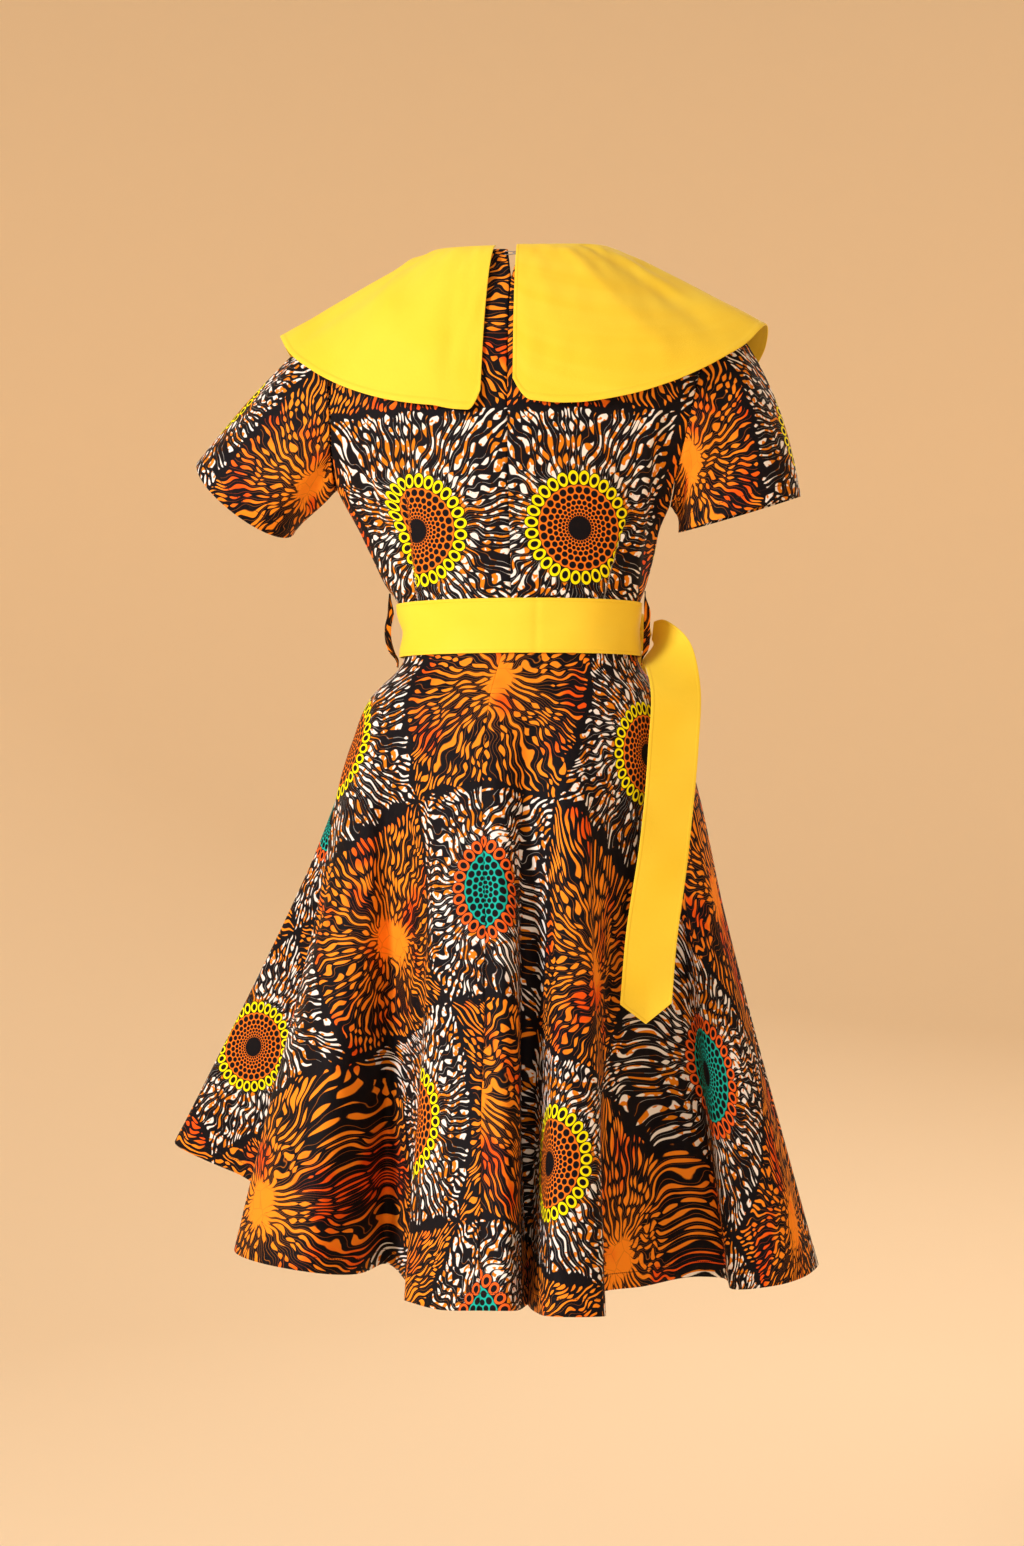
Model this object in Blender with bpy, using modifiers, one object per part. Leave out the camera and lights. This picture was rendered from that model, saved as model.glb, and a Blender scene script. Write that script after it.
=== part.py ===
"""Ankara wax print dress, worn and hollow, with a cape collar, a tied sash and a flared skirt.

Metres, +Z up. The back of the dress is at -Y and the wearer's right is at +X. The origin lies
midway between the two neck ends of the shoulder seams, where the wearer's shoulders carry it.
Every piece is an open surface on the wearer's side of the cloth, given its wall by Solidify.
"""
from collections import namedtuple
import math

import bmesh
import bpy
import numpy as np
from mathutils import Vector

# Cloth walls and seams
CLOTH = 0.0012
COLLAR_CLOTH = 0.0018
SASH_CLOTH = 0.0018
ZIP_CLOTH = 0.0010
SEAM_GAP = 0.0003
WAIST_GAP = 0.0008
ARMHOLE_GAP = {"left": 0.0026, "right": 0.0010}
UNDERARM_GAP = 0.0008

# Neck, shoulders and the fastening at the back
NECK_HALF_WIDTH = 0.090
NECK_SIDE_Y = -0.004
NECK_SIDE_Z = -0.001
BACK_NECK_Y = -0.062
BACK_NECK_Z = -0.009
FRONT_NECK_Y = 0.080
FRONT_NECK_Z = -0.080
SHOULDER_TIP = (0.190, -0.012, -0.053)
NECK_VEE_HALF_WIDTH = 0.006
NECK_VEE_DEPTH = 0.033
BUST_APEX = (0.085, -0.235)
BUST_FULLNESS = 0.014
BUST_SPREAD = 0.055

# Waist, sash and skirt
WAIST_Z = -0.397
BELT_TOP_Z = -0.369
BELT_BOTTOM_Z = -0.425
BELT_CLEARANCE = 0.0022
SKIRT_LENGTH = 0.676
FOLD_START = 0.10
FOLD_POWER = 1.10

# Bodice: one row per level, for both sides. An edge is the side seam up to the underarm
# and the armhole above it. left_x and right_x are distances from the centre plane.
# wrap is how far round the body a row turns, in degrees, by the time it meets its edge.
EdgeRow = namedtuple(
    "EdgeRow", "name left_x left_z right_x right_z back_y front_y front_inset wrap")
EDGE_ROWS = (
    EdgeRow("waist", 0.1225, -0.397, 0.1215, -0.397, -0.004, -0.004, 0.000, 90.0),
    EdgeRow("belt top", 0.1280, -0.369, 0.1245, -0.369, -0.004, -0.004, 0.000, 90.0),
    EdgeRow("above belt", 0.1415, -0.349, 0.1315, -0.349, -0.005, -0.005, 0.000, 90.0),
    EdgeRow("ribs", 0.1575, -0.317, 0.1400, -0.317, -0.006, -0.006, 0.000, 90.0),
    EdgeRow("low chest", 0.1705, -0.291, 0.1450, -0.294, -0.006, -0.006, 0.000, 88.0),
    EdgeRow("underarm", 0.1955, -0.246, 0.1560, -0.268, -0.006, -0.006, 0.000, 82.0),
    EdgeRow("armhole low", 0.1925, -0.218, 0.1660, -0.236, -0.044, 0.040, 0.008, 66.0),
    EdgeRow("armhole middle", 0.1905, -0.180, 0.1800, -0.182, -0.062, 0.058, 0.020, 56.0),
    EdgeRow("shoulder blade", 0.1915, -0.135, 0.1900, -0.135, -0.060, 0.054, 0.022, 50.0),
    EdgeRow("armhole high", 0.1915, -0.090, 0.1915, -0.090, -0.042, 0.032, 0.010, 50.0),
)
CentreRow = namedtuple("CentreRow", "name back_y back_z front_y front_z")
CENTRE_ROWS = (
    CentreRow("waist", -0.084, -0.397, 0.094, -0.397),
    CentreRow("belt top", -0.085, -0.370, 0.096, -0.370),
    CentreRow("above belt", -0.087, -0.351, 0.100, -0.350),
    CentreRow("ribs", -0.092, -0.319, 0.106, -0.318),
    CentreRow("low chest", -0.098, -0.291, 0.110, -0.288),
    CentreRow("underarm", -0.107, -0.255, 0.113, -0.252),
    CentreRow("armhole low", -0.111, -0.222, 0.112, -0.222),
    CentreRow("armhole middle", -0.114, -0.176, 0.107, -0.188),
    CentreRow("shoulder blade", -0.112, -0.128, 0.099, -0.152),
    CentreRow("armhole high", -0.100, -0.078, 0.090, -0.116),
)
UNDERARM_ROW = 5
EDGE_SHARPNESS = 8
NECK_SHARE = 0.5

# Sleeves: the hem is an oval, from its centre to its outer point and to its front point.
# The starts are how the cloth leaves the armhole at the shoulder and at the underarm.
SleeveSize = namedtuple("SleeveSize", "hem_centre to_outer to_front top_start low_start top_end low_end")
SLEEVES = {
    "left": SleeveSize((-0.3020, 0.022, -0.2500), (-0.0490, 0.0, 0.0415), (0.008, 0.052, 0.016),
                       (-0.150, 0.0, -0.125), (-0.045, 0.0, -0.030),
                       (-0.125, 0.0, -0.160), (-0.030, 0.0, -0.045)),
    "right": SleeveSize((0.2285, 0.014, -0.2760), (0.0625, 0.0, 0.0180), (0.002, 0.054, 0.006),
                        (0.150, 0.0, -0.070), (0.032, 0.0, -0.010),
                        (0.035, 0.0, -0.250), (0.004, 0.0, -0.050)),
}

# Skirt: smooth sections first, as shares of its length.
GirthRow = namedtuple("GirthRow", "name share left_x right_x back_y front_y turn")
SKIRT_ROWS = (
    GirthRow("waist", 0.00, 0.1225, 0.1215, -0.084, 0.094, 0.0),
    GirthRow("belt bottom", 0.054, 0.1250, 0.1240, -0.087, 0.097, -5.0),
    GirthRow("upper hip", 0.105, 0.1570, 0.1500, -0.104, 0.112, -6.5),
    GirthRow("hip", 0.18, 0.1790, 0.1690, -0.119, 0.124, -7.0),
    GirthRow("thigh", 0.45, 0.2170, 0.2080, -0.157, 0.166, -4.5),
    GirthRow("hem", 1.00, 0.3050, 0.2950, -0.235, 0.262, -1.4),
)
SEAM_Y = -0.004
SKIRT_LEVELS = (0.0, 0.054, 0.08, 0.12, 0.18, 0.28, 0.42, 0.56, 0.70, 0.85, 1.0)

# Hem: one row per fold crest, valley or flank, from the centre back towards the wearer's right
# and on round the front. low is how far the hem hangs below an even one.
HemRow = namedtuple("HemRow", "name x y low")
HEM_ROWS = (
    HemRow("centre back", -0.006, -0.263, 0.002),
    HemRow("back flute corner", 0.021, -0.272, 0.002),
    HemRow("back flute flank", 0.026, -0.236, 0.000),
    HemRow("centre valley", 0.030, -0.186, -0.004),
    HemRow("rising flank", 0.044, -0.236, 0.003),
    HemRow("right flute", 0.070, -0.284, 0.010),
    HemRow("right flute corner", 0.106, -0.272, 0.010),
    HemRow("right flute flank", 0.102, -0.215, 0.004),
    HemRow("right valley", 0.097, -0.152, -0.010),
    HemRow("flat panel", 0.133, -0.110, -0.011),
    HemRow("flat panel end", 0.193, -0.060, -0.010),
    HemRow("small valley", 0.212, -0.066, -0.008),
    HemRow("side flute rise", 0.228, -0.116, 0.000),
    HemRow("side flute", 0.271, -0.110, 0.004),
    HemRow("right side tip", 0.309, -0.045, 0.002),
    HemRow("right side valley", 0.274, 0.042, 0.000),
    HemRow("right front crest", 0.296, 0.132, 0.000),
    HemRow("right front valley", 0.226, 0.178, 0.000),
    HemRow("front right crest", 0.190, 0.300, 0.000),
    HemRow("front right valley", 0.104, 0.250, 0.000),
    HemRow("front crest", 0.018, 0.330, 0.000),
    HemRow("front valley", -0.062, 0.248, 0.000),
    HemRow("front left crest", -0.164, 0.322, 0.000),
    HemRow("front left valley", -0.245, 0.235, 0.000),
    HemRow("lifted wing flank", -0.352, 0.262, -0.006),
    HemRow("lifted wing", -0.422, 0.172, -0.010),
    HemRow("lifted wing return", -0.336, 0.152, -0.018),
    HemRow("left side valley", -0.264, 0.078, -0.012),
    HemRow("left side edge", -0.302, -0.018, 0.004),
    HemRow("left flute", -0.262, -0.084, -0.004),
    HemRow("left flute end", -0.203, -0.114, -0.010),
    HemRow("left valley rise", -0.166, -0.072, -0.006),
    HemRow("left valley", -0.142, -0.012, -0.004),
    HemRow("wedge", -0.104, -0.078, 0.000),
    HemRow("wedge end", -0.086, -0.140, 0.002),
    HemRow("back flute edge", -0.087, -0.204, -0.002),
    HemRow("back flute", -0.044, -0.246, 0.003),
)
HEM_SAMPLES = 720

# Collar: the outer edge, from the centre back over the shoulder to the centre front, for the
# right half. share runs 0 at the back, 1 at the shoulder and 2 at the front.
CollarRow = namedtuple("CollarRow", "name share x y z")
COLLAR_ROWS = (
    CollarRow("centre back", 0.00, 0.000, -0.1220, -0.1780),
    CollarRow("back", 0.25, 0.060, -0.1210, -0.1790),
    CollarRow("shoulder blade", 0.45, 0.122, -0.1140, -0.1700),
    CollarRow("back side", 0.62, 0.1725, -0.0960, -0.1520),
    CollarRow("behind tip", 0.78, 0.212, -0.0720, -0.1290),
    CollarRow("near tip", 0.90, 0.238, -0.0450, -0.1080),
    CollarRow("tip", 1.00, 0.2570, -0.0060, -0.0830),
    CollarRow("before tip", 1.10, 0.2540, 0.0420, -0.1000),
    CollarRow("front tip", 1.22, 0.230, 0.0820, -0.1290),
    CollarRow("front side", 1.38, 0.186, 0.1130, -0.1660),
    CollarRow("chest", 1.55, 0.125, 0.1340, -0.2050),
    CollarRow("front", 1.78, 0.062, 0.1420, -0.2340),
    CollarRow("centre front", 2.00, 0.000, 0.1440, -0.2450),
)
# Where each half of the collar's back slit lies, at the neck and at its lower corner.
SLIT = {"left": (-0.0180, -0.0265, 0.006), "right": (0.0035, 0.0065, -0.006)}
SLIT_REACH = 0.30
CORNER_REACH = 0.09
CORNER_RISE = 0.055
COLLAR_RISE = 0.0012
COLLAR_CLEARANCE = 0.0026

# Sash ends: one row per station, the middle of the ribbon, its width and where its
# width points, as a heading from +X towards +Y and a slope.
RibbonRow = namedtuple("RibbonRow", "name x y z width heading slope")
BACK_TAIL_ROWS = (
    RibbonRow("at the knot", 0.1372, 0.0446, -0.3950, 0.020, -75.0, 60.0),
    RibbonRow("leaving", 0.1440, 0.0280, -0.3980, 0.026, -60.0, 50.0),
    RibbonRow("turning", 0.1510, 0.0060, -0.4130, 0.040, -18.0, 32.0),
    RibbonRow("turned", 0.1600, -0.0250, -0.4360, 0.053, 14.0, 14.0),
    RibbonRow("hanging", 0.1650, -0.0450, -0.4620, 0.055, 24.0, 4.0),
    RibbonRow("hip", 0.1640, -0.0690, -0.5200, 0.055, 27.0, 0.0),
    RibbonRow("thigh", 0.1560, -0.0990, -0.6240, 0.055, 27.0, 0.0),
    RibbonRow("low", 0.1450, -0.1250, -0.7130, 0.055, 25.0, 0.0),
    RibbonRow("end", 0.1410, -0.1430, -0.7740, 0.055, 24.0, 0.0),
)
FRONT_TAIL_ROWS = (
    RibbonRow("at the knot", 0.1134, 0.0779, -0.4122, 0.024, 130.0, 10.0),
    RibbonRow("leaving", 0.1130, 0.1060, -0.4440, 0.040, 138.0, 5.0),
    RibbonRow("hanging", 0.1160, 0.1240, -0.4850, 0.054, 146.0, 0.0),
    RibbonRow("hip", 0.1180, 0.1400, -0.5500, 0.056, 150.0, 0.0),
    RibbonRow("thigh", 0.1200, 0.1680, -0.6400, 0.056, 152.0, 0.0),
    RibbonRow("low", 0.1220, 0.1960, -0.7200, 0.056, 153.0, 0.0),
    RibbonRow("end", 0.1240, 0.2160, -0.7780, 0.056, 153.0, 0.0),
)
TAIL_POINT = 0.020

KNOT_CENTRE_ANGLE = 122.0
KNOT_SIZE = (0.050, 0.026, 0.046)
KNOT_CLEARANCE = 0.0008
CARRIER_WIDTH = 0.007
CARRIER_END = 0.012
CARRIER_TOP_CLEARANCE = 0.0020
CARRIER_LOW_CLEARANCE = {"left": 0.0041, "right": 0.0028}
CARRIER_STAND_OFF = {"left": 0.0095, "right": 0.0030}
ZIP_ACROSS = 0.05
ZIP_CLEARANCE = 0.0014
ZIP_SKIRT_SHARE = 0.24

PRINT = (0.30, 0.12, 0.04)
YELLOW = (0.95, 0.66, 0.03)
DARK = (0.03, 0.02, 0.03)


def smooth(knots, values, at):
    """A soft curve through table values: cubic between knots, slopes from the neighbours."""
    knots = np.asarray(knots, float)
    values = np.asarray(values, float)
    at = np.asarray(at, float)
    slopes = np.gradient(values, knots, axis=0)
    i = np.clip(np.searchsorted(knots, at, side="right") - 1, 0, len(knots) - 2)
    width = knots[i + 1] - knots[i]
    s = (at - knots[i]) / width
    shape = s.shape + (1,) * (values.ndim - 1)
    s = s.reshape(shape)
    width = width.reshape(shape)
    start = (1 + 2 * s) * (1 - s) ** 2 * values[i] + s * (1 - s) ** 2 * width * slopes[i]
    end = s * s * (3 - 2 * s) * values[i + 1] - s * s * (1 - s) * width * slopes[i + 1]
    return start + end


def chord_knots(points):
    """Distance along a row of points, from 0 to 1."""
    steps = np.linalg.norm(np.diff(points, axis=0), axis=1)
    return np.concatenate(([0.0], np.cumsum(steps))) / steps.sum()


def side_sign(side):
    return -1.0 if side == "left" else 1.0


# The bodice's form

def neck_point(face, turn):
    """On the neckline: turn is 0 at the centre of that face and 1 at the neck's side."""
    angle = turn * math.pi / 2
    centre_y = BACK_NECK_Y if face == "back" else FRONT_NECK_Y
    centre_z = BACK_NECK_Z if face == "back" else FRONT_NECK_Z
    return np.array((NECK_HALF_WIDTH * math.sin(angle),
                     NECK_SIDE_Y + (centre_y - NECK_SIDE_Y) * math.cos(angle),
                     NECK_SIDE_Z + (centre_z - NECK_SIDE_Z) * math.cos(angle) ** 1.5))


def top_point(face, across):
    """On the top edge of a bodice panel: the neckline first, then the shoulder seam."""
    if across <= NECK_SHARE:
        return neck_point(face, across / NECK_SHARE)
    share = (across - NECK_SHARE) / (1 - NECK_SHARE)
    return neck_point(face, 1.0) * (1 - share) + np.array(SHOULDER_TIP) * share


def bodice_rows(face, side, across):
    """The table's rows for one half of one face, at the given places across the panel."""
    rows = []
    for edge, centre in zip(EDGE_ROWS, CENTRE_ROWS):
        edge_x = edge.left_x if side == "left" else edge.right_x
        edge_z = edge.left_z if side == "left" else edge.right_z
        edge_y = edge.back_y if face == "back" else edge.front_y
        middle_y = centre.back_y if face == "back" else centre.front_y
        middle_z = centre.back_z if face == "back" else centre.front_z
        if face == "front":
            edge_x = edge_x - edge.front_inset
        wrap = math.radians(edge.wrap)
        x = edge_x * np.sin(across * wrap) / math.sin(wrap)
        bulge = (np.cos(across * wrap) - math.cos(wrap)) / (1 - math.cos(wrap))
        y = edge_y + (middle_y - edge_y) * bulge
        z = middle_z + (edge_z - middle_z) * across ** 2
        rows.append(np.stack((x, y, z), axis=-1))
    rows.append(np.array([top_point(face, a) for a in across]))
    return np.array(rows)


def bodice_knots(face):
    """Heights of the table's rows along the centre line of a face, from 0 to 1."""
    return chord_knots(bodice_rows(face, "right", np.array((0.0,)))[:, 0])


def bodice_points(face, side, across, up):
    """Points of a bodice half: across 0 is the centre and 1 the edge, up 0 is the waist."""
    across = np.asarray(across, float)
    up = np.asarray(up, float)
    knots = bodice_knots(face)
    rows = bodice_rows(face, side, across)
    points = smooth(knots, rows, up)
    below = smooth(knots[:UNDERARM_ROW + 1], rows[:UNDERARM_ROW + 1], up)
    above = smooth(knots[UNDERARM_ROW:], rows[UNDERARM_ROW:], up)
    parted = np.where((up <= knots[UNDERARM_ROW])[:, None, None], below, above)
    points += (parted - points) * (across ** EDGE_SHARPNESS)[None, :, None]
    if face == "front":
        reach = ((points[..., 0] - BUST_APEX[0]) / BUST_SPREAD) ** 2
        reach = reach + ((points[..., 2] - BUST_APEX[1]) / BUST_SPREAD) ** 2
        points[..., 1] += BUST_FULLNESS * np.exp(-reach)
    else:
        opening = np.clip((points[..., 2] - BACK_NECK_Z + NECK_VEE_DEPTH) / NECK_VEE_DEPTH, 0, 1)
        points[..., 0] += NECK_VEE_HALF_WIDTH * opening * (1 - across) ** 3
    points[..., 0] *= side_sign(side)
    return points


def bodice_levels(face, above):
    """Places up a panel: the table's rows to the underarm, and even steps from there to the top."""
    knots = bodice_knots(face)
    top = 1 - SEAM_GAP / 0.4
    return np.concatenate((knots[:UNDERARM_ROW],
                           np.linspace(knots[UNDERARM_ROW], top, above + 1)))


# The skirt's form

def hem_curve():
    """The hem in plan as a closed soft curve, sampled evenly along the cloth."""
    table = np.array([(row.x, row.y, row.low) for row in HEM_ROWS])
    around = np.vstack((table[-3:], table, table[:4]))
    knots = chord_knots(around[:, :2])
    start = knots[3]
    end = knots[3 + len(table)]
    fine = smooth(knots, around, np.linspace(start, end, HEM_SAMPLES * 4 + 1))
    length = chord_knots(fine[:, :2])
    even = np.linspace(0, 1, HEM_SAMPLES + 1)
    return np.stack([np.interp(even, length, fine[:, k]) for k in range(3)], axis=-1)


HEM = hem_curve()


def skirt_girth(share):
    """Half widths, depths and turn of the skirt's smooth section at shares of its length."""
    table = np.array([row[2:] for row in SKIRT_ROWS])
    return smooth([row.share for row in SKIRT_ROWS], table, share)


def ring_points(left_x, right_x, back_y, front_y, turn, around):
    """A smooth ring round the body; around runs 0 to 1 from the centre back by the right."""
    angle = 2 * math.pi * around + np.radians(turn) * np.cos(math.pi * around) ** 2
    half = np.where(np.sin(angle) > 0, right_x, left_x)
    depth = np.where(np.cos(angle) > 0, SEAM_Y - back_y, front_y - SEAM_Y)
    return np.stack((half * np.sin(angle), SEAM_Y - depth * np.cos(angle)), axis=-1)


def skirt_points(around, share):
    """Points of the skirt, inside face: around 0 to 1 as above, share 0 to 1 down the cloth."""
    around, share = np.broadcast_arrays(np.asarray(around, float), np.asarray(share, float))
    girth = skirt_girth(share)
    level = ring_points(*np.moveaxis(girth, -1, 0), around)
    lowest = ring_points(*SKIRT_ROWS[-1][2:], around)
    waist = ring_points(*SKIRT_ROWS[0][2:], around)
    wrapped = np.mod(around, 1.0) * HEM_SAMPLES
    hem = np.stack([np.interp(wrapped, np.arange(HEM_SAMPLES + 1), HEM[:, k]) for k in range(3)],
                   axis=-1)
    grow = (np.clip((share - FOLD_START) / (1 - FOLD_START), 0, 1) ** FOLD_POWER)[..., None]
    plan = level + grow * (hem[..., :2] - lowest)
    reach = np.linalg.norm(hem[..., :2] - waist, axis=-1)
    drop = np.sqrt(SKIRT_LENGTH ** 2 - reach ** 2) + hem[..., 2]
    z = WAIST_Z - WAIST_GAP - share * drop
    return np.concatenate((plan, z[..., None]), axis=-1)


# Making solids

def material(name, colour, roughness):
    made = bpy.data.materials.new(name)
    made.use_nodes = True
    shader = made.node_tree.nodes["Principled BSDF"]
    shader.inputs["Base Color"].default_value = (*colour, 1.0)
    shader.inputs["Roughness"].default_value = roughness
    shader.inputs["Metallic"].default_value = 0.0
    return made


def cloth_wall(name, grid, wall, finish, inside, closed=False):
    """A grid of points (rows, columns, xyz) as cloth, thickened away from the point inside."""
    rows, columns = grid.shape[:2]
    mesh = bpy.data.meshes.new(name)
    shell = bmesh.new()
    verts = [[shell.verts.new(point) for point in row] for row in grid]
    last = columns if closed else columns - 1
    for i in range(rows - 1):
        for j in range(last):
            k = (j + 1) % columns
            shell.faces.new((verts[i][j], verts[i][k], verts[i + 1][k], verts[i + 1][j]))
    shell.normal_update()
    middle = Vector(inside)
    facing = sum(face.normal.dot(face.calc_center_median() - middle) * face.calc_area()
                 for face in shell.faces)
    if facing < 0:
        bmesh.ops.reverse_faces(shell, faces=shell.faces)
    shell.to_mesh(mesh)
    shell.free()
    mesh.shade_smooth()
    mesh.materials.append(finish)
    piece = bpy.data.objects.new(name, mesh)
    dress.objects.link(piece)
    thick = piece.modifiers.new("Wall", "SOLIDIFY")
    thick.thickness = wall
    thick.offset = 1.0
    return piece


def move_out(grid, distance, closed=False):
    """A grid's points moved along its normals, away from the dress's axis."""
    down = np.gradient(grid, axis=0)
    if closed:
        wrapped = np.concatenate((grid[:, -1:], grid, grid[:, :1]), axis=1)
        along = np.gradient(wrapped, axis=1)[:, 1:-1]
    else:
        along = np.gradient(grid, axis=1)
    normal = np.cross(along, down)
    normal /= np.linalg.norm(normal, axis=-1, keepdims=True)
    centre = grid.mean(axis=(0, 1)) * (0, 0, 1)
    if (normal * (grid - centre)).sum() < 0:
        normal = -normal
    return grid + normal * distance


def build_bodice(finish):
    """Two back panels, parted at the centre back, and one front panel."""
    edge = 1 - SEAM_GAP / 0.36
    levels = bodice_levels("back", 8)
    across = np.linspace(SEAM_GAP / 0.36, edge, 11)
    for side in ("left", "right"):
        grid = bodice_points("back", side, across, levels)
        cloth_wall(f"bodice_back_{side}", grid, CLOTH, finish, (0, 0, -0.25))
    levels = bodice_levels("front", 8)
    across = np.linspace(0, edge, 11)
    left = bodice_points("front", "left", across[::-1], levels)
    right = bodice_points("front", "right", across[1:], levels)
    cloth_wall("bodice_front", np.concatenate((left, right), axis=1), CLOTH, finish, (0, 0, -0.25))


def armhole_loop(side, count):
    """The armhole, from the underarm up the back, over the shoulder and down the front."""
    up = np.linspace(bodice_knots("back")[UNDERARM_ROW], 1, 60)
    back = bodice_points("back", side, (1.0,), up)[:, 0]
    up = np.linspace(1, bodice_knots("front")[UNDERARM_ROW], 60)
    front = bodice_points("front", side, (1.0,), up)[:, 0]
    halves = []
    for half in (back, front):
        length = chord_knots(half)
        at = np.linspace(0, 1, count // 2 + 1)[:-1]
        halves.append(np.stack([np.interp(at, length, half[:, k]) for k in range(3)], axis=-1))
    return np.concatenate(halves)


def sleeve_points(side, count, down):
    """A sleeve from its armhole to its hem, leaving the shoulder and underarm in given ways."""
    size = SLEEVES[side]
    hole = armhole_loop(side, count)
    turn = 2 * math.pi * np.arange(count) / count
    top = (0.5 - 0.5 * np.cos(turn))[:, None]
    hem = (np.array(size.hem_centre) - np.cos(turn)[:, None] * np.array(size.to_outer)
           - np.sin(turn)[:, None] * np.array(size.to_front))
    start = top * np.array(size.top_start) + (1 - top) * np.array(size.low_start)
    end = top * np.array(size.top_end) + (1 - top) * np.array(size.low_end)
    leaving = start / np.linalg.norm(start, axis=1, keepdims=True)
    hole = hole + leaving * (ARMHOLE_GAP[side] + UNDERARM_GAP * (1 - top) ** 2)
    t = down[:, None, None]
    return ((1 + 2 * t) * (1 - t) ** 2 * hole + t * (1 - t) ** 2 * start
            + t * t * (3 - 2 * t) * hem - t * t * (1 - t) * end)


def build_sleeves(finish):
    for side in ("left", "right"):
        grid = sleeve_points(side, 24, np.linspace(0, 1, 7))
        cloth_wall(f"sleeve_{side}", grid, CLOTH, finish, grid.mean(axis=(0, 1)), closed=True)


def build_skirt(finish):
    """Two back panels of a quarter of the hem each and a front panel of half of it."""
    gap = SEAM_GAP / 0.7
    down = np.array(SKIRT_LEVELS)[:, None]
    panels = (("skirt_back_right", 0.0, 0.25, 30), ("skirt_front", 0.25, 0.75, 48),
              ("skirt_back_left", 0.75, 1.0, 30))
    for name, first, last, count in panels:
        around = np.linspace(first + gap, last - gap, count + 1)[None, :]
        cloth_wall(name, skirt_points(around, down), CLOTH, finish, (0, 0, -0.7))


def collar_points(side, shares, out):
    """Half of the cape collar, from the neckline outwards."""
    sign = side_sign(side)
    table = np.array([row[2:] for row in COLLAR_ROWS])
    edges = smooth([row.share for row in COLLAR_ROWS], table, shares)
    slit_top, slit_low, corner_drop = SLIT[side]
    grid = np.zeros((len(out), len(shares), 3))
    for j, (share, edge) in enumerate(zip(shares, edges)):
        face = "back" if share < 1 else "front"
        neck = neck_point(face, share if share < 1 else 2 - share)
        neck[2] += COLLAR_CLEARANCE
        away = edge - neck
        away[2] = 0.0
        length = np.linalg.norm(away)
        over_back = math.cos(math.pi / 2 * min(share, 2 - share)) ** 2
        side_on = 1 - over_back
        turned = 0.80 * over_back + 0.50 * side_on
        lowered = 0.26 * over_back + 0.45 * side_on
        rise = neck + away / length * 0.012 + np.array((0, 0, COLLAR_RISE))
        bend = neck + away * turned + np.array((0, 0, (edge[2] - neck[2]) * lowered))
        near = max(0.0, 1 - share / SLIT_REACH)
        corner = max(0.0, 1 - share / CORNER_REACH)
        for i, r in enumerate(out * (1 - CORNER_RISE * corner ** 2)):
            point = ((1 - r) ** 3 * neck + 3 * r * (1 - r) ** 2 * rise
                     + 3 * r * r * (1 - r) * bend + r ** 3 * edge)
            slit = slit_top + (slit_low - slit_top) * r
            point[0] = sign * point[0] + slit * near
            point[2] -= corner_drop * near * r
            grid[i, j] = point
    return grid


def build_collar(finish):
    """One cape of double cloth, parted at the centre back only."""
    shares = np.concatenate((np.linspace(0, CORNER_REACH, 4)[:-1],
                             np.linspace(CORNER_REACH, 2.0, 25)))
    out = np.array((0.0, 0.10, 0.25, 0.43, 0.62, 0.81, 1.0))
    left = collar_points("left", shares, out)
    right = collar_points("right", shares[:-1][::-1], out)
    cloth_wall("collar", np.concatenate((left, right), axis=1), COLLAR_CLOTH, finish,
               (0, 0, -0.15))


def belt_rings(heights, around):
    """The sash's inside face: the cloth under it, moved out, one ring for each height."""
    rings = []
    for z in heights:
        if z >= WAIST_Z:
            left = np.interp(z, [row.left_z for row in EDGE_ROWS[:3]],
                             [row.left_x for row in EDGE_ROWS[:3]])
            right = np.interp(z, [row.right_z for row in EDGE_ROWS[:3]],
                              [row.right_x for row in EDGE_ROWS[:3]])
            back = np.interp(z, [row.back_z for row in CENTRE_ROWS[:3]],
                             [row.back_y for row in CENTRE_ROWS[:3]])
            front = np.interp(z, [row.front_z for row in CENTRE_ROWS[:3]],
                              [row.front_y for row in CENTRE_ROWS[:3]])
        else:
            low = (WAIST_Z - z) / SKIRT_LENGTH / SKIRT_ROWS[1].share
            waist, below = (np.array(row[2:6]) for row in SKIRT_ROWS[:2])
            left, right, back, front = waist * (1 - low) + below * low
        ring = ring_points(left + BELT_CLEARANCE, right + BELT_CLEARANCE, back - BELT_CLEARANCE,
                           front + BELT_CLEARANCE, 0.0, around)
        rings.append(np.concatenate((ring, np.full((len(around), 1), z)), axis=-1))
    return np.array(rings)


def ribbon_points(table, down, across):
    """A ribbon through a table's stations, with a point on its lower end."""
    values = np.array([row[1:] for row in table])
    knots = chord_knots(values[:, :3])
    stations = smooth(knots, values, down)
    grid = np.zeros((len(down), len(across), 3))
    for i, (x, y, z, width, heading, slope) in enumerate(stations):
        heading = math.radians(heading)
        slope = math.radians(slope)
        wide = np.array((math.cos(heading) * math.cos(slope), math.sin(heading) * math.cos(slope),
                         math.sin(slope)))
        for j, a in enumerate(across):
            grid[i, j] = np.array((x, y, z)) + wide * width * 0.5 * a
            if i == len(down) - 1:
                grid[i, j, 2] -= TAIL_POINT * (1 - abs(a))
    return grid


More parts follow.
